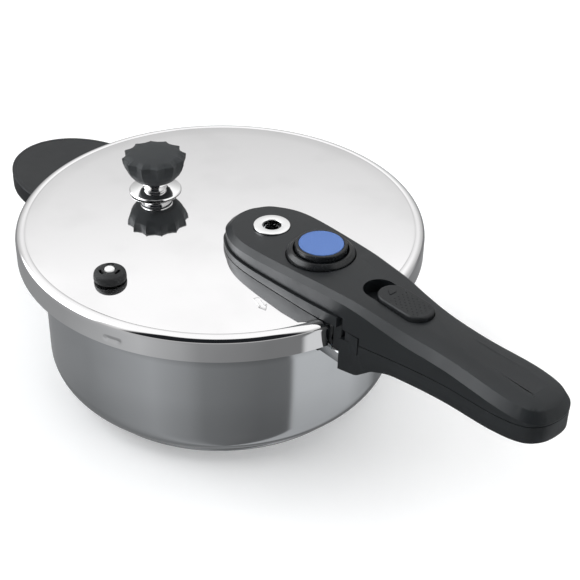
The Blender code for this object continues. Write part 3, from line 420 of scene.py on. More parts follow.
def handle_plan(grow=0.0):
    """The outline of the long handles from above, moved out by grow."""
    near = [(handle_start - grow, 0.0)]
    near += [(x, -half - grow) for x, half in half_widths]
    near += [(handle_end + grow, 0.0)]
    near += [(x, half + grow) for x, half in reversed(half_widths)]
    return through(near)


def half_width(x):
    """Half the handle's width at a distance along it."""
    for (near, first), (far, second) in zip(half_widths, half_widths[1:]):
        if near <= x <= far:
            return first + (second - first) * (x - near) / (far - near)
    return half_widths[-1][1]


parting_rise, parting_gap = 0.108, 0.0006


def parting_z(x):
    """Where the two long handles meet."""
    return 0.1010 + parting_rise * (x - lid_radius)


pan_handle_low, pan_handle_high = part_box("pan_handle")
head_x = lid_radius + 0.0068  # the heads of both handles start here, on an arc round the pan
start_x, end_x = head_x - 0.004, handle_end + 0.01
under = parting_z(start_x) - parting_gap - 0.0215
arm = 0.0102
side = [(start_x, parting_z(start_x) - parting_gap), (start_x, under, 0.0006), (start_x + 0.0150, under + 0.0022, 0.010),
        (start_x + 0.0255, under + 0.0108, 0.010),
        (start_x + 0.037, parting_z(start_x + 0.037) - parting_gap - arm, 0.04),
        (end_x, parting_z(end_x) - parting_gap - arm), (end_x, parting_z(end_x) - parting_gap)]
pan_handle = slab(handle_plan(-0.0002), 0.05, 0.13)
carve(pan_handle, slab(rounded(side, 0, 8, True), -0.05, 0.05, "XZ"), "INTERSECT")
carve(pan_handle, lathe("head_hollow", [(0, 0.11), (head_x, 0.11), (head_x, 0.05), (0, 0.05)], steps=256))
tab_start, tab_end, tab_top = lid_radius + 0.0085, lid_radius + 0.0183, 0.1073
tab_half = half_width(tab_start) - 0.0006
carve(pan_handle, block((tab_start, -tab_half, 0.096), (tab_end, -tab_half + 0.0086, tab_top)), "UNION")
eyelet_y, eyelet_z, eyelet = -0.0158, 0.1051, 0.0011
carve(pan_handle, block((tab_start - 0.01, eyelet_y - eyelet, eyelet_z - eyelet),
                        (tab_end + 0.01, eyelet_y + eyelet, eyelet_z + eyelet)))
bracket_low, bracket_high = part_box("pan_bracket")
carve(pan_handle, block((start_x - 0.01, bracket_low.y - 0.0003, bracket_low.z - 0.0003),
                        (bracket_high.x + 0.0003, bracket_high.y + 0.0003, bracket_high.z + 0.0003)))
screw_low, screw_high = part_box("pan_handle_screw")
screw_x = (screw_low.x + screw_high.x) / 2
screw_way = [(0, screw_high.z + 0.0003), (0.0023, screw_high.z + 0.0003), (0.0023, bracket_low.z),
             (0.0041, bracket_low.z), (0.0041, 0.05), (0, 0.05)]
carve(pan_handle, lathe("screw_way", screw_way, (screw_x, 0), 48))
wear(ease(pan_handle, "pan_handle_moulding", 0.0008, 3), "pan", "black_phenolic", phenolic, "pan_handle")

guard_low, guard_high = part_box("flame_guard")
guard = block(guard_low - Vector((0.006, 0, 0)), guard_high)
modify(guard, "BEVEL", width=0.0015, segments=4, limit_method="ANGLE")
wall = 0.001
carve(guard, block((guard_low.x - 0.02, guard_low.y + wall, guard_low.z + wall),
                   (guard_high.x + 0.01, guard_high.y - wall, guard_high.z - wall)))
inside = pan_radius + 0.0048
carve(guard, lathe("wall_arc", [(0, 0.12), (inside, 0.12), (inside, 0.05), (0, 0.05)], steps=256))
carve(guard, lathe("head_arc", [(0, 0.12), (head_x - 0.0003, 0.12), (head_x - 0.0003, 0.05), (0, 0.05)], steps=256),
      "INTERSECT")
wear(ease(guard, "flame_guard_sleeve", 0.0002, 2), "pan", "satin_steel", guard_steel, "flame_guard")

# ------------------------------------------------------------------ the helper handle
# A flat phenolic paddle opposite the long handle, on a steel bracket welded to the wall and held by two screws
# from below. A fine line runs round its top, just inside its edge.
helper_phenolic = phenolic_finish("helper_phenolic", (0.007, 0.0085, 0.0100), (0.012, 0.0140, 0.0160), 0.48, 0.00045)
helper_turn = math.radians(184)
helper_top, helper_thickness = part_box("helper_handle")[1].z, 0.011
helper_root, helper_reach, helper_half = pan_radius + 0.012, pan_radius + 0.0855, 0.044
paddle_half = [(helper_root + 0.0005, 0.022), (helper_root + 0.0012, helper_half * 0.76),
               (helper_root + 0.005, helper_half * 0.94)]
for share in (0.16, 0.30, 0.44, 0.58, 0.72, 0.84, 0.93, 0.985):
    spread = math.sqrt(1 - ((share - 0.22) / 0.78) ** 2)
    paddle_half.append((helper_root + (helper_reach - helper_root) * share, helper_half * spread))
paddle_plan = [(helper_root, 0.0)] + [(x, -y) for x, y in paddle_half] + [(helper_reach, 0.0)]
paddle_plan += [(x, y) for x, y in reversed(paddle_half)]
paddle = slab(through(paddle_plan), helper_top - helper_thickness, helper_top)
pick_faces(paddle, lambda spot, normal: normal.z > 0.9)
bpy.ops.mesh.inset(thickness=0.0026)
bpy.ops.mesh.inset(thickness=0.0004)
bpy.ops.transform.translate(value=(0, 0, -0.0004))
bpy.ops.mesh.inset(thickness=0.0004)
bpy.ops.transform.translate(value=(0, 0, 0.0004))
bpy.ops.object.mode_set(mode="OBJECT")
middle_z = helper_top - helper_thickness / 2
pocket = block((helper_root - 0.03, -0.0193, middle_z - 0.0018), (helper_root + 0.0223, 0.0193, middle_z + 0.0018))
carve(paddle, pocket)
for y in (0.011, -0.011):
    head = helper_top - helper_thickness + 0.0022
    way = [(0, middle_z), (0.0023, middle_z), (0.0023, head), (0.0041, head), (0.0041, 0.05), (0, 0.05)]
    carve(paddle, lathe("helper_way", way, (helper_root + 0.013, y), 48))
ease(paddle, "helper_paddle", 0.0013, 3, 50)
bpy.ops.object.select_all(action="DESELECT")
paddle.select_set(True)
paddle.matrix_world = Matrix.Rotation(helper_turn, 4, "Z")
bpy.ops.object.transform_apply(location=True, rotation=True, scale=True)
wear(paddle, "pan", "black_phenolic", helper_phenolic, "helper_handle")
coat(guard_steel, "helper_bracket", "helper_screw_left", "helper_screw_right")

# ------------------------------------------------------------------ the sealing ring
# A soft silicone ring of C section lies between the pan's flange and the lid, open to the steam inside.
silicone, shader, start = new_finish("seal_silicone", Subsurface_Weight=0.1)
grain = pattern(start, 0.001)
feed(shader, Base_Color=start.add("ShaderNodeValToRGB", {"stops": [(0.3, (0.50, 0.51, 0.51)), (0.7, (0.58, 0.58, 0.57))]},
                                  {"Fac": grain}))
feed(shader, Roughness=0.5 + grain * 0.2)
feed(shader, Normal=start.add("ShaderNodeBump", {}, {"Height": grain, "Strength": 0.15, "Distance": 0.00005}))
low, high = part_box("sealing_ring")
seal_outer, seal_inner, lip = lid_radius - 0.0045, lid_radius - 0.0125, 0.0025
seal_profile = [(seal_outer, high.z - 0.0004), (high.x, (low.z + high.z) / 2), (seal_outer, low.z), (seal_inner, low.z),
                (seal_inner, low.z + lip - 0.0008), (seal_outer - 0.003, low.z + lip),
                (seal_outer - 0.003, high.z - lip), (seal_inner, high.z - lip + 0.0008), (seal_inner, high.z),
                (seal_outer - 0.0012, high.z)]
seal = lathe("seal_silicone_ring", rounded(seal_profile, 0.0004, 3, True), steps=240)
wear(seal, "seal", "silicone", silicone, "sealing_ring")
coat(silicone, "stud_seal", "indicator_seal", "valve_washer")

# ------------------------------------------------------------------ the lid
# Pressed mirror-polished steel: a plate with a very shallow dome, a crease, a rolled bead and a straight skirt.
# Six lugs are pressed in from the skirt, with a short slot between each pair, and an arrow is etched by the handle.
lid_steel = steel_finish("lid_steel", (0.90, 0.895, 0.90), 0.045, 0.02, (1, 1, 1))
low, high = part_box("lid_shell")
plate_radius, plate_z, dome, bead = lid_radius - 0.0062, 0.1081, 0.0033, 0.0045
skirt_z, lid_lug_radius = low.z, lid_radius - 0.008
lug_top = rim_z - flange_thickness - 0.001
bead_centre = (lid_radius - bead, plate_z - bead)


def plate_height(radius):
    return plate_z + dome * (1 - (radius / plate_radius) ** 2)


lid_profile = [(plate_radius * step / 10, plate_height(plate_radius * step / 10)) for step in range(10)]
lid_profile += [(plate_radius - 0.0012, plate_z), (plate_radius - 0.0004, plate_z - 0.00012)]
lid_profile += [(plate_radius + 0.0002, plate_z - 0.0003), (plate_radius + 0.0010, plate_z + 0.00005)]
bead_steps = 14
for step in range(bead_steps + 1):
    turn = math.radians(76 * (1 - step / bead_steps))
    lid_profile.append((bead_centre[0] + bead * math.cos(turn), bead_centre[1] + bead * math.sin(turn)))
skirt_steps = 12
for step in range(1, skirt_steps + 1):
    lid_profile.append((lid_radius, bead_centre[1] + (skirt_z + 0.0002 - bead_centre[1]) * step / skirt_steps))
lid_profile += [(lid_radius - 0.0002, skirt_z), (lid_radius - sheet, skirt_z)]
lid_profile += [(lid_radius - sheet, lug_top)]
for step in range(1, skirt_steps + 1):
    lid_profile.append((lid_radius - sheet, lug_top + (bead_centre[1] - lug_top) * step / skirt_steps))
for step in range(1, bead_steps + 1):
    turn = math.radians(76 * step / bead_steps)
    reach = bead - sheet
    lid_profile.append((bead_centre[0] + reach * math.cos(turn), bead_centre[1] + reach * math.sin(turn)))
lid_profile += [(plate_radius + 0.0004, plate_z - sheet - 0.0004), (plate_radius - 0.0010, plate_z - sheet)]
lid_profile += [(plate_radius * step / 10, plate_height(plate_radius * step / 10) - sheet) for step in range(9, -1, -1)]
lid = lathe("lid_polished_shell", lid_profile, steps=720, angle=40)
pick_faces(lid, lambda spot, normal: spot.z < lug_top and abs(spot.xy.length - lid_radius + sheet) < 0.0001
           and normal.xy.length > 0.9 and in_lug(spot.x, spot.y))
bpy.ops.mesh.extrude_region()
shrink = lid_lug_radius / (lid_radius - sheet)
bpy.ops.transform.resize(value=(shrink, shrink, 1), center_override=(0, 0, skirt_z))
bpy.ops.mesh.select_all(action="SELECT")
bpy.ops.mesh.normals_make_consistent(inside=False)
bpy.ops.object.mode_set(mode="OBJECT")


def press(piece, azimuth, height, long, tall, depth):
    """Presses a soft rectangular dent into the lid's skirt."""
    for corner_point in piece.data.vertices:
        spot = corner_point.co
        if spot.z > plate_z - 0.003 or spot.xy.length < lid_radius - 0.0015:
            continue
        along = ((math.degrees(math.atan2(spot.y, spot.x)) - azimuth + 180) % 360 - 180)
        along = abs(math.radians(along)) * lid_radius / (long / 2)
        up = abs(spot.z - height) / (tall / 2)
        share = max(0.0, min(1.0, (1.35 - along) / 0.5)) * max(0.0, min(1.0, (1.35 - up) / 0.6))
        share = share * share * (3 - 2 * share)
        shift = 1 - depth * share / spot.xy.length
        corner_point.co.x *= shift
        corner_point.co.y *= shift


for index in range(lug_count):
    middle = lug_first + index * 360 / lug_count
    press(lid, middle - 30.8, skirt_z + 0.0046, 0.0085, 0.0026, 0.0008)
stud_at, indicator_at = (0.0477, 0.0), (lid_radius - 0.0365, 0.0)
valve_at = tuple((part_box("valve_seat")[0].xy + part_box("valve_seat")[1].xy) / 2)
safety_at = tuple((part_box("safety_grommet")[0].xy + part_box("safety_grommet")[1].xy) / 2)
for radius, at in ((0.0081, stud_at), (0.0048, indicator_at), (0.0055, valve_at), (0.0063, safety_at)):
    carve(lid, lathe("lid_way", [(0, 0.12), (radius, 0.12), (radius, 0.09), (0, 0.09)], at, 64))
bpy.ops.object.select_all(action="DESELECT")
lid.select_set(True)
bpy.context.view_layer.objects.active = lid
bpy.ops.object.shade_smooth_by_angle(angle=math.radians(40))
wear(lid, "lid", "polished_steel", lid_steel, "lid_shell")

etched, shader, start = new_finish("etched_steel", 1.0)
grain = pattern(start, 0.0003)
feed(shader, Base_Color=start.add("ShaderNodeValToRGB", {"stops": [(0.3, (0.74, 0.74, 0.74)), (0.7, (0.82, 0.81, 0.80))]},
                                  {"Fac": grain}))
feed(shader, Roughness=0.45 + grain * 0.2)
arrow_tail, arrow_tip = Vector((0.0816, -0.0415)), Vector((0.0938, -0.0442))
along = (arrow_tip - arrow_tail).normalized()
across = Vector((-along.y, along.x))
length = (arrow_tip - arrow_tail).length
arrow_shape = [(0, -0.0016), (length - 0.0042, -0.0016), (length - 0.0042, -0.0029), (length, 0),
               (length - 0.0042, 0.0029), (length - 0.0042, 0.0016), (0, 0.0016)]
arrow_z = plate_height(arrow_tail.length) - 0.00005
arrow = slab([tuple(arrow_tail + along * a + across * b) for a, b in arrow_shape], arrow_z - 0.0001, arrow_z + 0.00012)
pick_faces(arrow, lambda spot, normal: abs(normal.z) > 0.9)
bpy.ops.mesh.inset(thickness=0.00035)
bpy.ops.mesh.delete(type="FACE")
bpy.ops.mesh.select_mode(type="EDGE")
bpy.ops.mesh.select_all(action="DESELECT")
bpy.ops.mesh.select_non_manifold()
bpy.ops.mesh.bridge_edge_loops()
arrow = finish_mesh(arrow, "lid_arrow_mark")
wear(arrow, "lid", "polished_steel", etched)

# ------------------------------------------------------------------ the lid's handle
# Two phenolic mouldings screwed together: a floor that lies on the lid and hooks over its rim, and a hollow cover
# with a flat top, a broad chamfer along its sides, a slot for the lock and a notch for the pan handle's tab.
tier_low, tier_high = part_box("lid_handle_base")
tier_bottom, tier_top, tier_step = plate_z + 0.0005, plate_z + dome + 0.0037, 0.0016
hook_x, hook_thickness, cover_edge, gap = lid_radius + 0.0003, 0.0062, 0.0022, 0.0003
tier_end = hook_x + hook_thickness - cover_edge - gap
floor_start, floor_end = head_x + 0.0033, handle_end - 0.006
floor_plan = handle_plan(-0.0033)
tier = slab(handle_plan(tier_step), tier_bottom, tier_top)
carve(tier, block((0, -0.05, 0.09), (tier_end, 0.05, 0.13)), "INTERSECT")
dome_way = [(plate_radius * step / 8, plate_height(plate_radius * step / 8) + gap) for step in range(9)]
carve(tier, lathe("dome_way", dome_way + [(plate_radius, 0.09), (0, 0.09)], steps=256))
modify(tier, "BEVEL", width=0.0009, segments=3, limit_method="ANGLE", angle_limit=math.radians(50))
hook_half = half_width(hook_x) + tier_step - 0.004
hook = block((hook_x - 0.0035, -hook_half, tier_low.z), (hook_x + hook_thickness, hook_half, tier_top - cover_edge - gap))
outside = [(0, 0.12), (hook_x + hook_thickness, 0.12), (hook_x + hook_thickness, 0.08), (0, 0.08)]
carve(hook, lathe("hook_outside", outside, steps=256), "INTERSECT")
rim_way = [(0, tier_bottom), (hook_x, tier_bottom), (hook_x, skirt_z - gap), (0, skirt_z - gap)]
carve(hook, lathe("hook_rim", rim_way, steps=256))
under_way = [(0, skirt_z), (lid_radius - 0.0035, skirt_z), (lid_radius - 0.0035, 0.08), (0, 0.08)]
carve(hook, lathe("hook_under", under_way, steps=256))
carve(tier, hook, "UNION")
floor_side = [(hook_x + 0.001, tier_top - 0.003), (floor_start + 0.002, parting_z(floor_start)),
              (floor_end, parting_z(floor_end)), (floor_end, parting_z(floor_end) + 0.002),
              (floor_start + 0.004, parting_z(floor_start) + 0.002), (floor_start - 0.0005, tier_top - 0.0005),
              (hook_x + 0.001, tier_top - 0.0005)]
floor_piece = slab(floor_plan, 0.07, 0.13)
carve(floor_piece, slab(floor_side, -0.05, 0.05, "XZ"), "INTERSECT")
carve(tier, floor_piece, "UNION")
for radius, at in ((0.0081, stud_at), (0.0075, indicator_at)):
    carve(tier, lathe("tier_way", [(0, 0.12), (radius, 0.12), (radius, 0.10), (0, 0.10)], at, 64))
carve(tier, block((head_x, -half_width(tab_start) - 0.01, 0.09),
                  (tab_end + 0.001, -half_width(tab_start) + 0.010, plate_z + dome - 0.0002)))
carve(tier, block((tab_end, -half_width(tab_start) - 0.01, 0.09),
                  (lid_radius + 0.0414, eyelet_y + 0.0011, plate_z + dome - 0.0005)))
handle_screws = (handle_end - 0.064, handle_end - 0.022)
for x in handle_screws:
    way = [(0, 0.125), (0.0023, 0.125), (0.0023, parting_z(x) + 0.0012), (0.0038, parting_z(x) + 0.0012),
           (0.0038, 0.09), (0, 0.09)]
    carve(tier, lathe("floor_screw_way", way, (x, 0), 32))
wear(ease(tier, "lid_handle_floor", 0.0003, 2, 40), "lid", "black_phenolic", phenolic, "lid_handle_base")

cover_top, cover_low = handle_high.z, tier_top + gap
crest_x, fall = lid_radius - 0.0165, 0.048  # the top falls away from the crest towards the lid's middle
outline_points = [Vector(spot) for spot in handle_plan()]


def top_z(x):
    """Level of the handle's top along its middle."""
    return cover_top - fall * max(0.0, crest_x - x)


def soft(value):
    """0 to 1 with soft ends."""
    value = max(0.0, min(1.0, value))
    return value * value * (3 - 2 * value)


def crown(piece):
    """Lowers the edge of a top: a broad chamfer along the sides, and a rounded crown over the grip."""
    pick_faces(piece, lambda spot, normal: normal.z > 0.9 and spot.z > cover_low + 0.003)
    for width in (0.0035, 0.002, 0.002, 0.0025, 0.0025):
        bpy.ops.mesh.inset(thickness=width)
    bpy.ops.object.mode_set(mode="OBJECT")
    for point in piece.data.vertices:
        spot = point.co
        if spot.z < cover_low + 0.003:
            continue
        away = 1.0
        for near, far in zip(outline_points, outline_points[1:] + outline_points[:1]):
            share = max(0.0, min(1.0, (spot.xy - near).dot(far - near) / (far - near).length_squared))
            away = min(away, (spot.xy - near - (far - near) * share).length)
        grip = soft((spot.x - lid_radius - 0.004) / 0.052)
        inner = min(1.0, max(0.0, away - 0.0035) / (half_width(spot.x) - 0.0035))
        spot.z -= (0.003 + 0.0025 * grip) * max(0.0, 1 - away / 0.0035) + 0.0035 * grip * (1 - inner) ** 2
        spot.z -= 0.0018 * max(0.0, (spot.x - (handle_end - 0.040)) / 0.040) ** 2


cover_side = [(0.01, cover_low), (head_x, cover_low), (head_x, parting_z(head_x)), (end_x, parting_z(end_x)),
              (end_x, cover_top), (crest_x, cover_top), (0.01, top_z(0.01))]
cover = slab(handle_plan(), 0.07, 0.14)
carve(cover, slab(rounded(cover_side, 0.0, 8, True), -0.05, 0.05, "XZ"), "INTERSECT")
crown(cover)
hollow = slab(handle_plan(-0.003), 0.06, 0.14)
roof = [(0.005, 0.05), (end_x, 0.05), (end_x, cover_top), (crest_x, cover_top), (0.005, top_z(0.005))]
carve(hollow, slab(roof, -0.05, 0.05, "XZ"), "INTERSECT")
crown(hollow)
for point in hollow.data.vertices:
    if point.co.z > cover_low + 0.003:
        point.co.z -= 0.0026
carve(cover, hollow)
carve(cover, lathe("ferrule_way", [(0, 0.14), (0.0084, 0.14), (0.0084, 0.10), (0, 0.10)], stud_at, 64))
seat_z = top_z(stud_at[0]) - 0.0009
carve(cover, lathe("ferrule_seat", [(0, 0.14), (0.0113, 0.14), (0.0113, seat_z), (0, seat_z)], stud_at, 96))
carve(cover, lathe("bezel_way", [(0, 0.14), (0.0205, 0.14), (0.0205, 0.10), (0, 0.10)], indicator_at, 96))
slot_start, slider_start, slider_end, slider_radius = lid_radius + 0.002, lid_radius + 0.013, lid_radius + 0.0492, 0.0091


def stadium(start, end, radius, steps=20):
    """A slot's outline along X with round ends."""
    found = []
    for centre, first in ((start + radius, 90), (end - radius, -90)):
        for step in range(steps + 1):
            turn = math.radians(first + 180 * step / steps)
            found.append((centre + radius * math.cos(turn), radius * math.sin(turn)))
    return found


carve(cover, slab(stadium(slot_start, slider_end + 0.0004, slider_radius + 0.0004), 0.119, 0.14))
carve(cover, block((head_x - 0.001, -half_width(tab_start) - 0.01, 0.08),
                   (tab_end + 0.0006, -half_width(tab_start) + 0.0094, tab_top + 0.0006)))
for x in handle_screws:
    low_z = parting_z(x) + 0.0034
    boss = lathe("boss", [(0.005, cover_top - 0.0045), (0.005, low_z), (0.0023, low_z), (0.0023, cover_top - 0.0045)], (x, 0), 40)
    carve(cover, boss, "UNION")
wear(ease(cover, "lid_handle_top", 0.0005, 3, 24), "lid", "black_phenolic", phenolic, "lid_handle_cover")
coat(guard_steel, "handle_screw_1", "handle_screw_2", "handle_stud", "stud_nut", "latch_bar", "slide_screw")
coat(guard_steel, "valve_nut", "indicator_rod", "indicator_spring")

# The bright ferrule round the mouth of the handle's hollow bolt, where steam leaves.
chrome = steel_finish("chrome", (0.93, 0.93, 0.93), 0.06, 0.02, (1, 1, 1))
low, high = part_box("ferrule")
ferrule_radius, bore, lip_z = high.x - stud_at[0], 0.0056, seat_z + gap
ferrule = rounded([(bore, high.z, 0.0005), (ferrule_radius, high.z, 0.0004), (ferrule_radius, lip_z, 0.0001),
                   (0.0081, lip_z, 0), (0.0081, low.z, 0), (bore, low.z, 0)], 0, 5, True)
wear(lathe("ferrule_ring", ferrule, stud_at, 128), "lid", "polished_steel", chrome, "ferrule")

# ------------------------------------------------------------------ the pressure indicator
# A black stepped bezel in the handle, with a round cap inside that rises on the rod. A blue disc with a plain
# raised rim is set in its top.
bezel_plastic = phenolic_finish("bezel_plastic", (0.005, 0.0058, 0.0068), (0.009, 0.0102, 0.0115), 0.30, 0.0003)
low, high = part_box("indicator_bezel")
bezel_radius, collar_radius = high.x - indicator_at[0], 0.0157
bezel = rounded([(bezel_radius - 0.0026, high.z, 0.0007), (bezel_radius - 0.0003, high.z - 0.0022, 0.0016),
                 (bezel_radius, low.z, 0), (0.003, low.z, 0),
                 (0.003, low.z + 0.001, 0), (collar_radius + 0.0004, low.z + 0.001, 0),
                 (collar_radius + 0.0004, high.z, 0.0005)], 0, 6, True)
wear(lathe("bezel_ring", bezel, indicator_at, 128), "lid", "black_phenolic", bezel_plastic, "indicator_bezel")
low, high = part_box("indicator_cap")
disc_radius = 0.0130
rod_bore = 0.0025
cap_section = rounded([(0, high.z - 0.0012), (disc_radius + gap, high.z - 0.0012, 0), (disc_radius + gap, high.z, 0.0002),
                       (collar_radius - 0.0006, high.z, 0.0012), (collar_radius, low.z, 0), (collar_radius - 0.0016, low.z, 0),
                       (collar_radius - 0.0016, high.z - 0.0034, 0), (0.005, high.z - 0.0034, 0), (0.005, low.z, 0),
                       (rod_bore, low.z, 0), (rod_bore, high.z - 0.0026, 0), (0, high.z - 0.0026)], 0, 6)
wear(lathe("indicator_cap_ring", cap_section, indicator_at, 128), "indicator", "black_phenolic", bezel_plastic,
     "indicator_cap")
blue, shader, start = new_finish("blue_disc", Coat_Roughness=0.25)
grain = pattern(start, 0.0005)
feed(shader, Base_Color=start.add("ShaderNodeValToRGB", {"stops": [(0.3, (0.068, 0.155, 0.43)), (0.7, (0.082, 0.178, 0.47))]},
                                  {"Fac": grain}))
feed(shader, Roughness=0.34 + grain * 0.1)
feed(shader, Normal=start.add("ShaderNodeBump", {}, {"Height": grain, "Strength": 0.1, "Distance": 0.00003}))
low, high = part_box("indicator_disc")
disc = rounded([(0, high.z - 0.00015), (disc_radius - 0.0010, high.z - 0.00015, 0.0001), (disc_radius - 0.0007, high.z, 0.0001),
                (disc_radius, high.z, 0.0002), (disc_radius, low.z, 0), (0, low.z)], 0, 4)
wear(lathe("indicator_disc_blue", disc, indicator_at, 128), "indicator", "blue_plastic", blue, "indicator_disc")

# ------------------------------------------------------------------ the lock's slide
# An oblong button that slides in the handle's slot. Small pips on its top give the thumb a grip, and a raised
# triangle at its inner end points at the lid. It is screwed to a steel bar with a tongue under the cover.
slide_plastic = phenolic_finish("slide_plastic", (0.006, 0.0072, 0.0084), (0.011, 0.0128, 0.0145), 0.46, 0.0004)
low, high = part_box("slide_button")
slide = slab(stadium(slider_start, slider_end, slider_radius), low.z, high.z)
pick_faces(slide, lambda spot, normal: normal.z > 0.9)
bpy.ops.mesh.select_mode(type="EDGE")
bpy.ops.mesh.region_to_loop()
bpy.ops.mesh.bevel(offset=0.0014, segments=6, affect="EDGES")
bpy.ops.object.mode_set(mode="OBJECT")
carve(slide, lathe("slide_screw_way", [(0, cover_top - 0.003), (0.0017, cover_top - 0.003), (0.0017, 0.11), (0, 0.11)],
                   ((slider_start + slider_end) / 2, 0), 32))
bpy.ops.object.mode_set(mode="EDIT")
slide = finish_mesh(slide, "slide_button_cap", 40)
wear(slide, "lock", "black_phenolic", slide_plastic, "slide_button")
pips = []
for row in range(13):
    for column in range(5):
        x = slider_start + 0.0125 + 0.0021 * row
        y = (column - 2) * 0.0030 + (0.0015 if row % 2 else -0.0)
        if (x > slider_end - 0.0035) or abs(y) > 0.0072:
            continue
        bpy.ops.object.select_all(action="DESELECT")
        bpy.ops.mesh.primitive_uv_sphere_add(segments=10, ring_count=6, radius=0.00052, location=(x, y, high.z - 0.0002))
        pips.append(bpy.context.object)
bpy.ops.object.select_all(action="DESELECT")
for pip in pips:
    pip.select_set(True)
bpy.context.view_layer.objects.active = pips[0]
bpy.ops.object.join()
bpy.ops.object.transform_apply(location=True, rotation=True, scale=True)
bpy.ops.object.mode_set(mode="EDIT")
grip = finish_mesh(pips[0], "slide_grip_pips", 60)
wear(grip, "lock", "black_phenolic", slide_plastic)
pointer = [(slider_start + 0.0042, 0), (slider_start + 0.0088, 0.0030), (slider_start + 0.0088, -0.0030)]
pointer = slab(rounded(pointer, 0.0006, 4, True), high.z - 0.0003, high.z + 0.00035)
wear(ease(pointer, "slide_pointer", 0.00012, 2), "lock", "black_phenolic", slide_plastic)

# ------------------------------------------------------------------ the regulator valve
# A chromed seat goes through the lid, with a wide conical flange and a groove under its collar. A steel weight
# rises on it, and a rubber knob with twelve pointed tips turns on the weight.
low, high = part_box("valve_seat")
flange = 0.0168
flange_z = plate_height(Vector(valve_at).length - flange) + gap
seat = [(0.0034, high.z, 0.0003), (0.0042, high.z - 0.0008, 0.0003), (0.0050, flange_z + 0.0052, 0.0010),
        (0.0095, flange_z + 0.0032, 0.003), (0.0160, flange_z + 0.0008, 0.0006), (flange, flange_z, 0.0001),
        (0.0052, flange_z, 0), (0.0052, low.z, 0), (0.0018, low.z, 0), (0.0018, high.z - 0.0012, 0)]
wear(lathe("valve_seat_cone", rounded(seat, 0, 6, True), valve_at, 128), "lid", "polished_steel", chrome, "valve_seat")
low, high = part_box("regulator_weight")
seat_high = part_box("valve_seat")[1].z
weight = [(0, high.z), (0.005, high.z, 0.0003), (0.005, high.z - 0.003, 0), (0.0102, high.z - 0.003, 0.0003),
          (0.0102, low.z + 0.0062, 0.0004), (0.0112, low.z + 0.0056, 0.0003), (0.0112, low.z + 0.0040, 0.0003),
          (0.0098, low.z + 0.0034, 0.0003), (0.0098, low.z + 0.0016, 0.0003), (0.0090, low.z, 0.0004),
          (0.0052, low.z, 0), (0.0052, seat_high + gap, 0), (0.0015, seat_high + gap, 0), (0.0006, seat_high - 0.003, 0),
          (0, seat_high - 0.004)]
wear(lathe("regulator_weight_steel", rounded(weight, 0, 4), valve_at, 96), "regulator", "satin_steel", chrome,
     "regulator_weight")
knob_rubber = phenolic_finish("knob_rubber", (0.022, 0.025, 0.027), (0.032, 0.036, 0.039), 0.58, 0.0005)
low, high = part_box("regulator_knob")
tips, tip_radius = 12, 0.0203
knob_rim = high.z - 0.0036
knob_section = rounded([(0, high.z), (0.0090, high.z - 0.0004, 0.02), (0.0165, high.z - 0.0016, 0.01),
                        (tip_radius, knob_rim, 0.0008), (tip_radius - 0.0004, knob_rim - 0.0034, 0.002),
                        (0.0186, knob_rim - 0.0072, 0.006), (0.0168, knob_rim - 0.0105, 0.006),
                        (0.0136, low.z + 0.0016, 0.003), (0.0122, low.z + 0.0012, 0.0006), (0.0106, low.z + 0.0012, 0),
                        (0.0106, high.z - 0.0050, 0), (0.0054, high.z - 0.0050, 0), (0.0054, high.z - 0.0024, 0),
                        (0, high.z - 0.0024)], 0, 6)
knob = lathe("regulator_knob_rubber", knob_section, valve_at, 288, 50)
for point in knob.data.vertices:
    spoke = Vector((point.co.x - valve_at[0], point.co.y - valve_at[1]))
    reach = spoke.length
    if reach < 0.0112:
        continue
    share = (math.degrees(math.atan2(spoke.y, spoke.x)) / (360 / tips)) % 1.0
    hollow = (1 - abs(2 * share - 1)) ** 0.55  # 0 at a tip and 1 in the middle of a scallop
    level = max(0.0, min(1.0, (point.co.z - low.z - 0.002) / (knob_rim - low.z - 0.005)))
    outer = max(0.0, min(1.0, (reach - 0.0112) / 0.0085))
    depth = 0.0026 * hollow * (level ** 2.5 * 0.9 + 0.1) * outer ** 1.5
    shift = 1 - depth / reach
    point.co.x = valve_at[0] + spoke.x * shift
    point.co.y = valve_at[1] + spoke.y * shift
wear(knob, "knob", "black_rubber", knob_rubber, "regulator_knob")

# ------------------------------------------------------------------ the safety valve
# A rubber plug pushed through the lid, with three curved slots in its dome round a white pin that lifts.
low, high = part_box("safety_grommet")
plug_radius = 0.0096
plug_z = plate_height(0.0943 - plug_radius) + gap
pin_bore, neck, under_z = 0.0033, 0.0060, low.z
plug = [(pin_bore, plug_z + 0.0062, 0.0005), (0.0062, plug_z + 0.0062, 0.002), (0.0092, plug_z + 0.0046, 0.003),
        (plug_radius, plug_z + 0.0020, 0.002), (plug_radius, plug_z, 0.0004), (neck, plug_z, 0),
        (neck, plate_height(0.1029) - 0.0013, 0), (0.0086, plate_height(0.1029) - 0.0013, 0.0003),
        (0.0080, under_z, 0.0005), (pin_bore, under_z, 0)]
grommet = lathe("safety_plug", rounded(plug, 0, 6, True), safety_at, 128)
for index in range(3):
    arc_points = []
    for reach, turns in ((0.0064, range(-24, 25, 8)), (0.0048, range(24, -25, -8))):
        for turn in turns:
            angle = math.radians(index * 120 + 20 + turn)
            arc_points.append((safety_at[0] + reach * math.cos(angle), safety_at[1] + reach * math.sin(angle)))
    carve(grommet, slab(arc_points, plug_z + 0.0030, plug_z + 0.01))
bpy.ops.object.mode_set(mode="EDIT")
grommet = finish_mesh(grommet, "safety_plug", 40)
wear(grommet, "lid", "black_rubber", dark_rubber, "safety_grommet")
pin_white, shader, start = new_finish("pin_white")
grain = pattern(start, 0.0006)
feed(shader, Base_Color=start.add("ShaderNodeValToRGB", {"stops": [(0.3, (0.80, 0.80, 0.79)), (0.7, (0.88, 0.88, 0.87))]},
                                  {"Fac": grain}))
feed(shader, Roughness=0.25 + grain * 0.1)
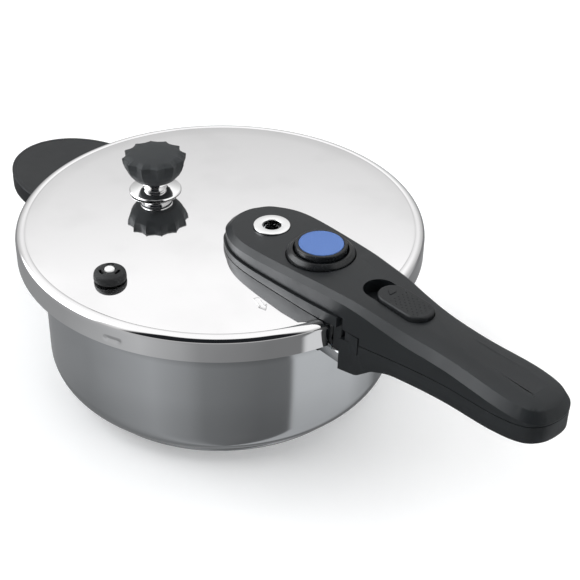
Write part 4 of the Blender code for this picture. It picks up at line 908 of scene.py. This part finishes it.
low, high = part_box("safety_pin")
pin = [(0, high.z), (0.0030, high.z - 0.0001, 0.0009), (0.0030, low.z + 0.0014, 0), (0.0052, low.z + 0.0014, 0.0002),
       (0.0052, low.z, 0.0002), (0, low.z)]
wear(lathe("safety_pin_white", rounded(pin, 0, 5), safety_at, 64), "safety", "white_pin", pin_white, "safety_pin")

# ------------------------------------------------------------------ the studio
# A pale floor that curves up far away, a soft bright sky with a dark flag behind the camera, and the camera.
camera_azimuth, camera_elevation, camera_distance, camera_roll = -42.5, 34.69, 0.842, 1.43
camera_target = Vector((0.0297, 0.0324, 0.0544))
bpy.ops.object.select_all(action="DESELECT")
bowl = lathe("studio_floor", rounded([(0, -0.0002), (3.2, -0.0002, 1.2), (3.9, 2.6)], 0, 24), steps=96, angle=80)
bowl.visible_glossy = False
paper, shader, start = new_finish("studio_paper", Roughness=0.9, Emission_Strength=0.16)
shader.inputs["Base Color"].default_value = (0.93, 0.93, 0.93, 1)
shader.inputs["Emission Color"].default_value = (1, 1, 1, 1)
bowl.data.materials.append(paper)

world = bpy.data.worlds.new("soft_studio")
bpy.context.scene.world = world
world.use_nodes = True
tree = world.node_tree
sky = Shade(tree)
direction = sky.add("ShaderNodeTexCoord", output=0)
parts = sky.add("ShaderNodeSeparateXYZ", {}, {0: direction})
split = parts.socket.node
east, north, up = (Shade(tree, split.outputs[index]) for index in range(3))
height = up.math("ARCSINE") * (180 / math.pi)  # degrees above the horizon
turn = math.radians(camera_azimuth)
ahead = east * math.cos(turn) + north * math.sin(turn)  # towards the camera
beside = north * math.cos(turn) - east * math.sin(turn)  # to the camera's right
bearing = beside.math("ARCTAN2", ahead) * (180 / math.pi)  # degrees from the camera, -180 to 180


def grey(value):
    return (value, value, value)


def lighter(value):
    return (value * 0.985, value, value * 1.015)


sky_tone = sky.add("ShaderNodeValToRGB", {"stops": [(0.0, grey(0.42)), (0.22, grey(0.62)), (0.30, grey(0.74)),
                                                  (0.42, grey(0.98)), (0.55, grey(1.0)), (1.0, grey(1.0))]},
                   {"Fac": height / 90})
round_tone = sky.add("ShaderNodeValToRGB", {"stops": [
    (0.0, lighter(0.30)), (0.10, lighter(0.26)), (0.233, lighter(0.28)), (0.38, lighter(0.44)), (0.445, lighter(0.33)),
    (0.475, lighter(0.24)), (0.58, lighter(0.17)), (0.634, lighter(0.17)), (0.642, lighter(0.60)), (0.77, lighter(0.58)),
    (0.83, lighter(0.40)), (0.86, lighter(0.18)), (0.92, lighter(0.22)), (1.0, lighter(0.30))]},
    {"Fac": (bearing + 180) / 360})
flag = (1 - bearing.math("ABSOLUTE").step(42, 52)) * height.step(6, 12) * (1 - height.step(60, 70))
sky_flagged = sky_tone.blend((0.012, 0.013, 0.015, 1), flag)
left_box = (1 - (bearing + 95).math("ABSOLUTE").step(20, 34)) * height.step(4, 14) * (1 - height.step(50, 62))
colour = sky_flagged.blend((4.6, 4.7, 4.8, 1), left_box)
low_tone = round_tone.blend((0.0, 0.0, 0.0, 1), (1 - height.step(-43, -36.5)) * 0.26)
colour = low_tone.blend(colour, height.step(-4, 2))
background = tree.nodes["Background"]
tree.links.new(colour.socket, background.inputs["Color"])
background.inputs["Strength"].default_value = 1.1

eye = math.radians(camera_azimuth), math.radians(camera_elevation)
back = Vector((math.cos(eye[1]) * math.cos(eye[0]), math.cos(eye[1]) * math.sin(eye[0]), math.sin(eye[1])))
right = Vector((0, 0, 1)).cross(back).normalized()
upward = back.cross(right)
roll = math.radians(camera_roll)
level_right = right * math.cos(roll) + upward * math.sin(roll)
level_up = back.cross(level_right)
camera_data = bpy.data.cameras.new("camera")
camera_data.lens, camera_data.sensor_width = 80.7, 36
camera_data.clip_start, camera_data.clip_end = 0.01, 50
camera = bpy.data.objects.new("camera", camera_data)
bpy.context.scene.collection.objects.link(camera)
camera.matrix_world = Matrix.Translation(camera_target + back * camera_distance) @ Matrix(
    (level_right, level_up, back)).transposed().to_4x4()
bpy.context.scene.camera = camera
bpy.context.scene.view_settings.view_transform = "Standard"
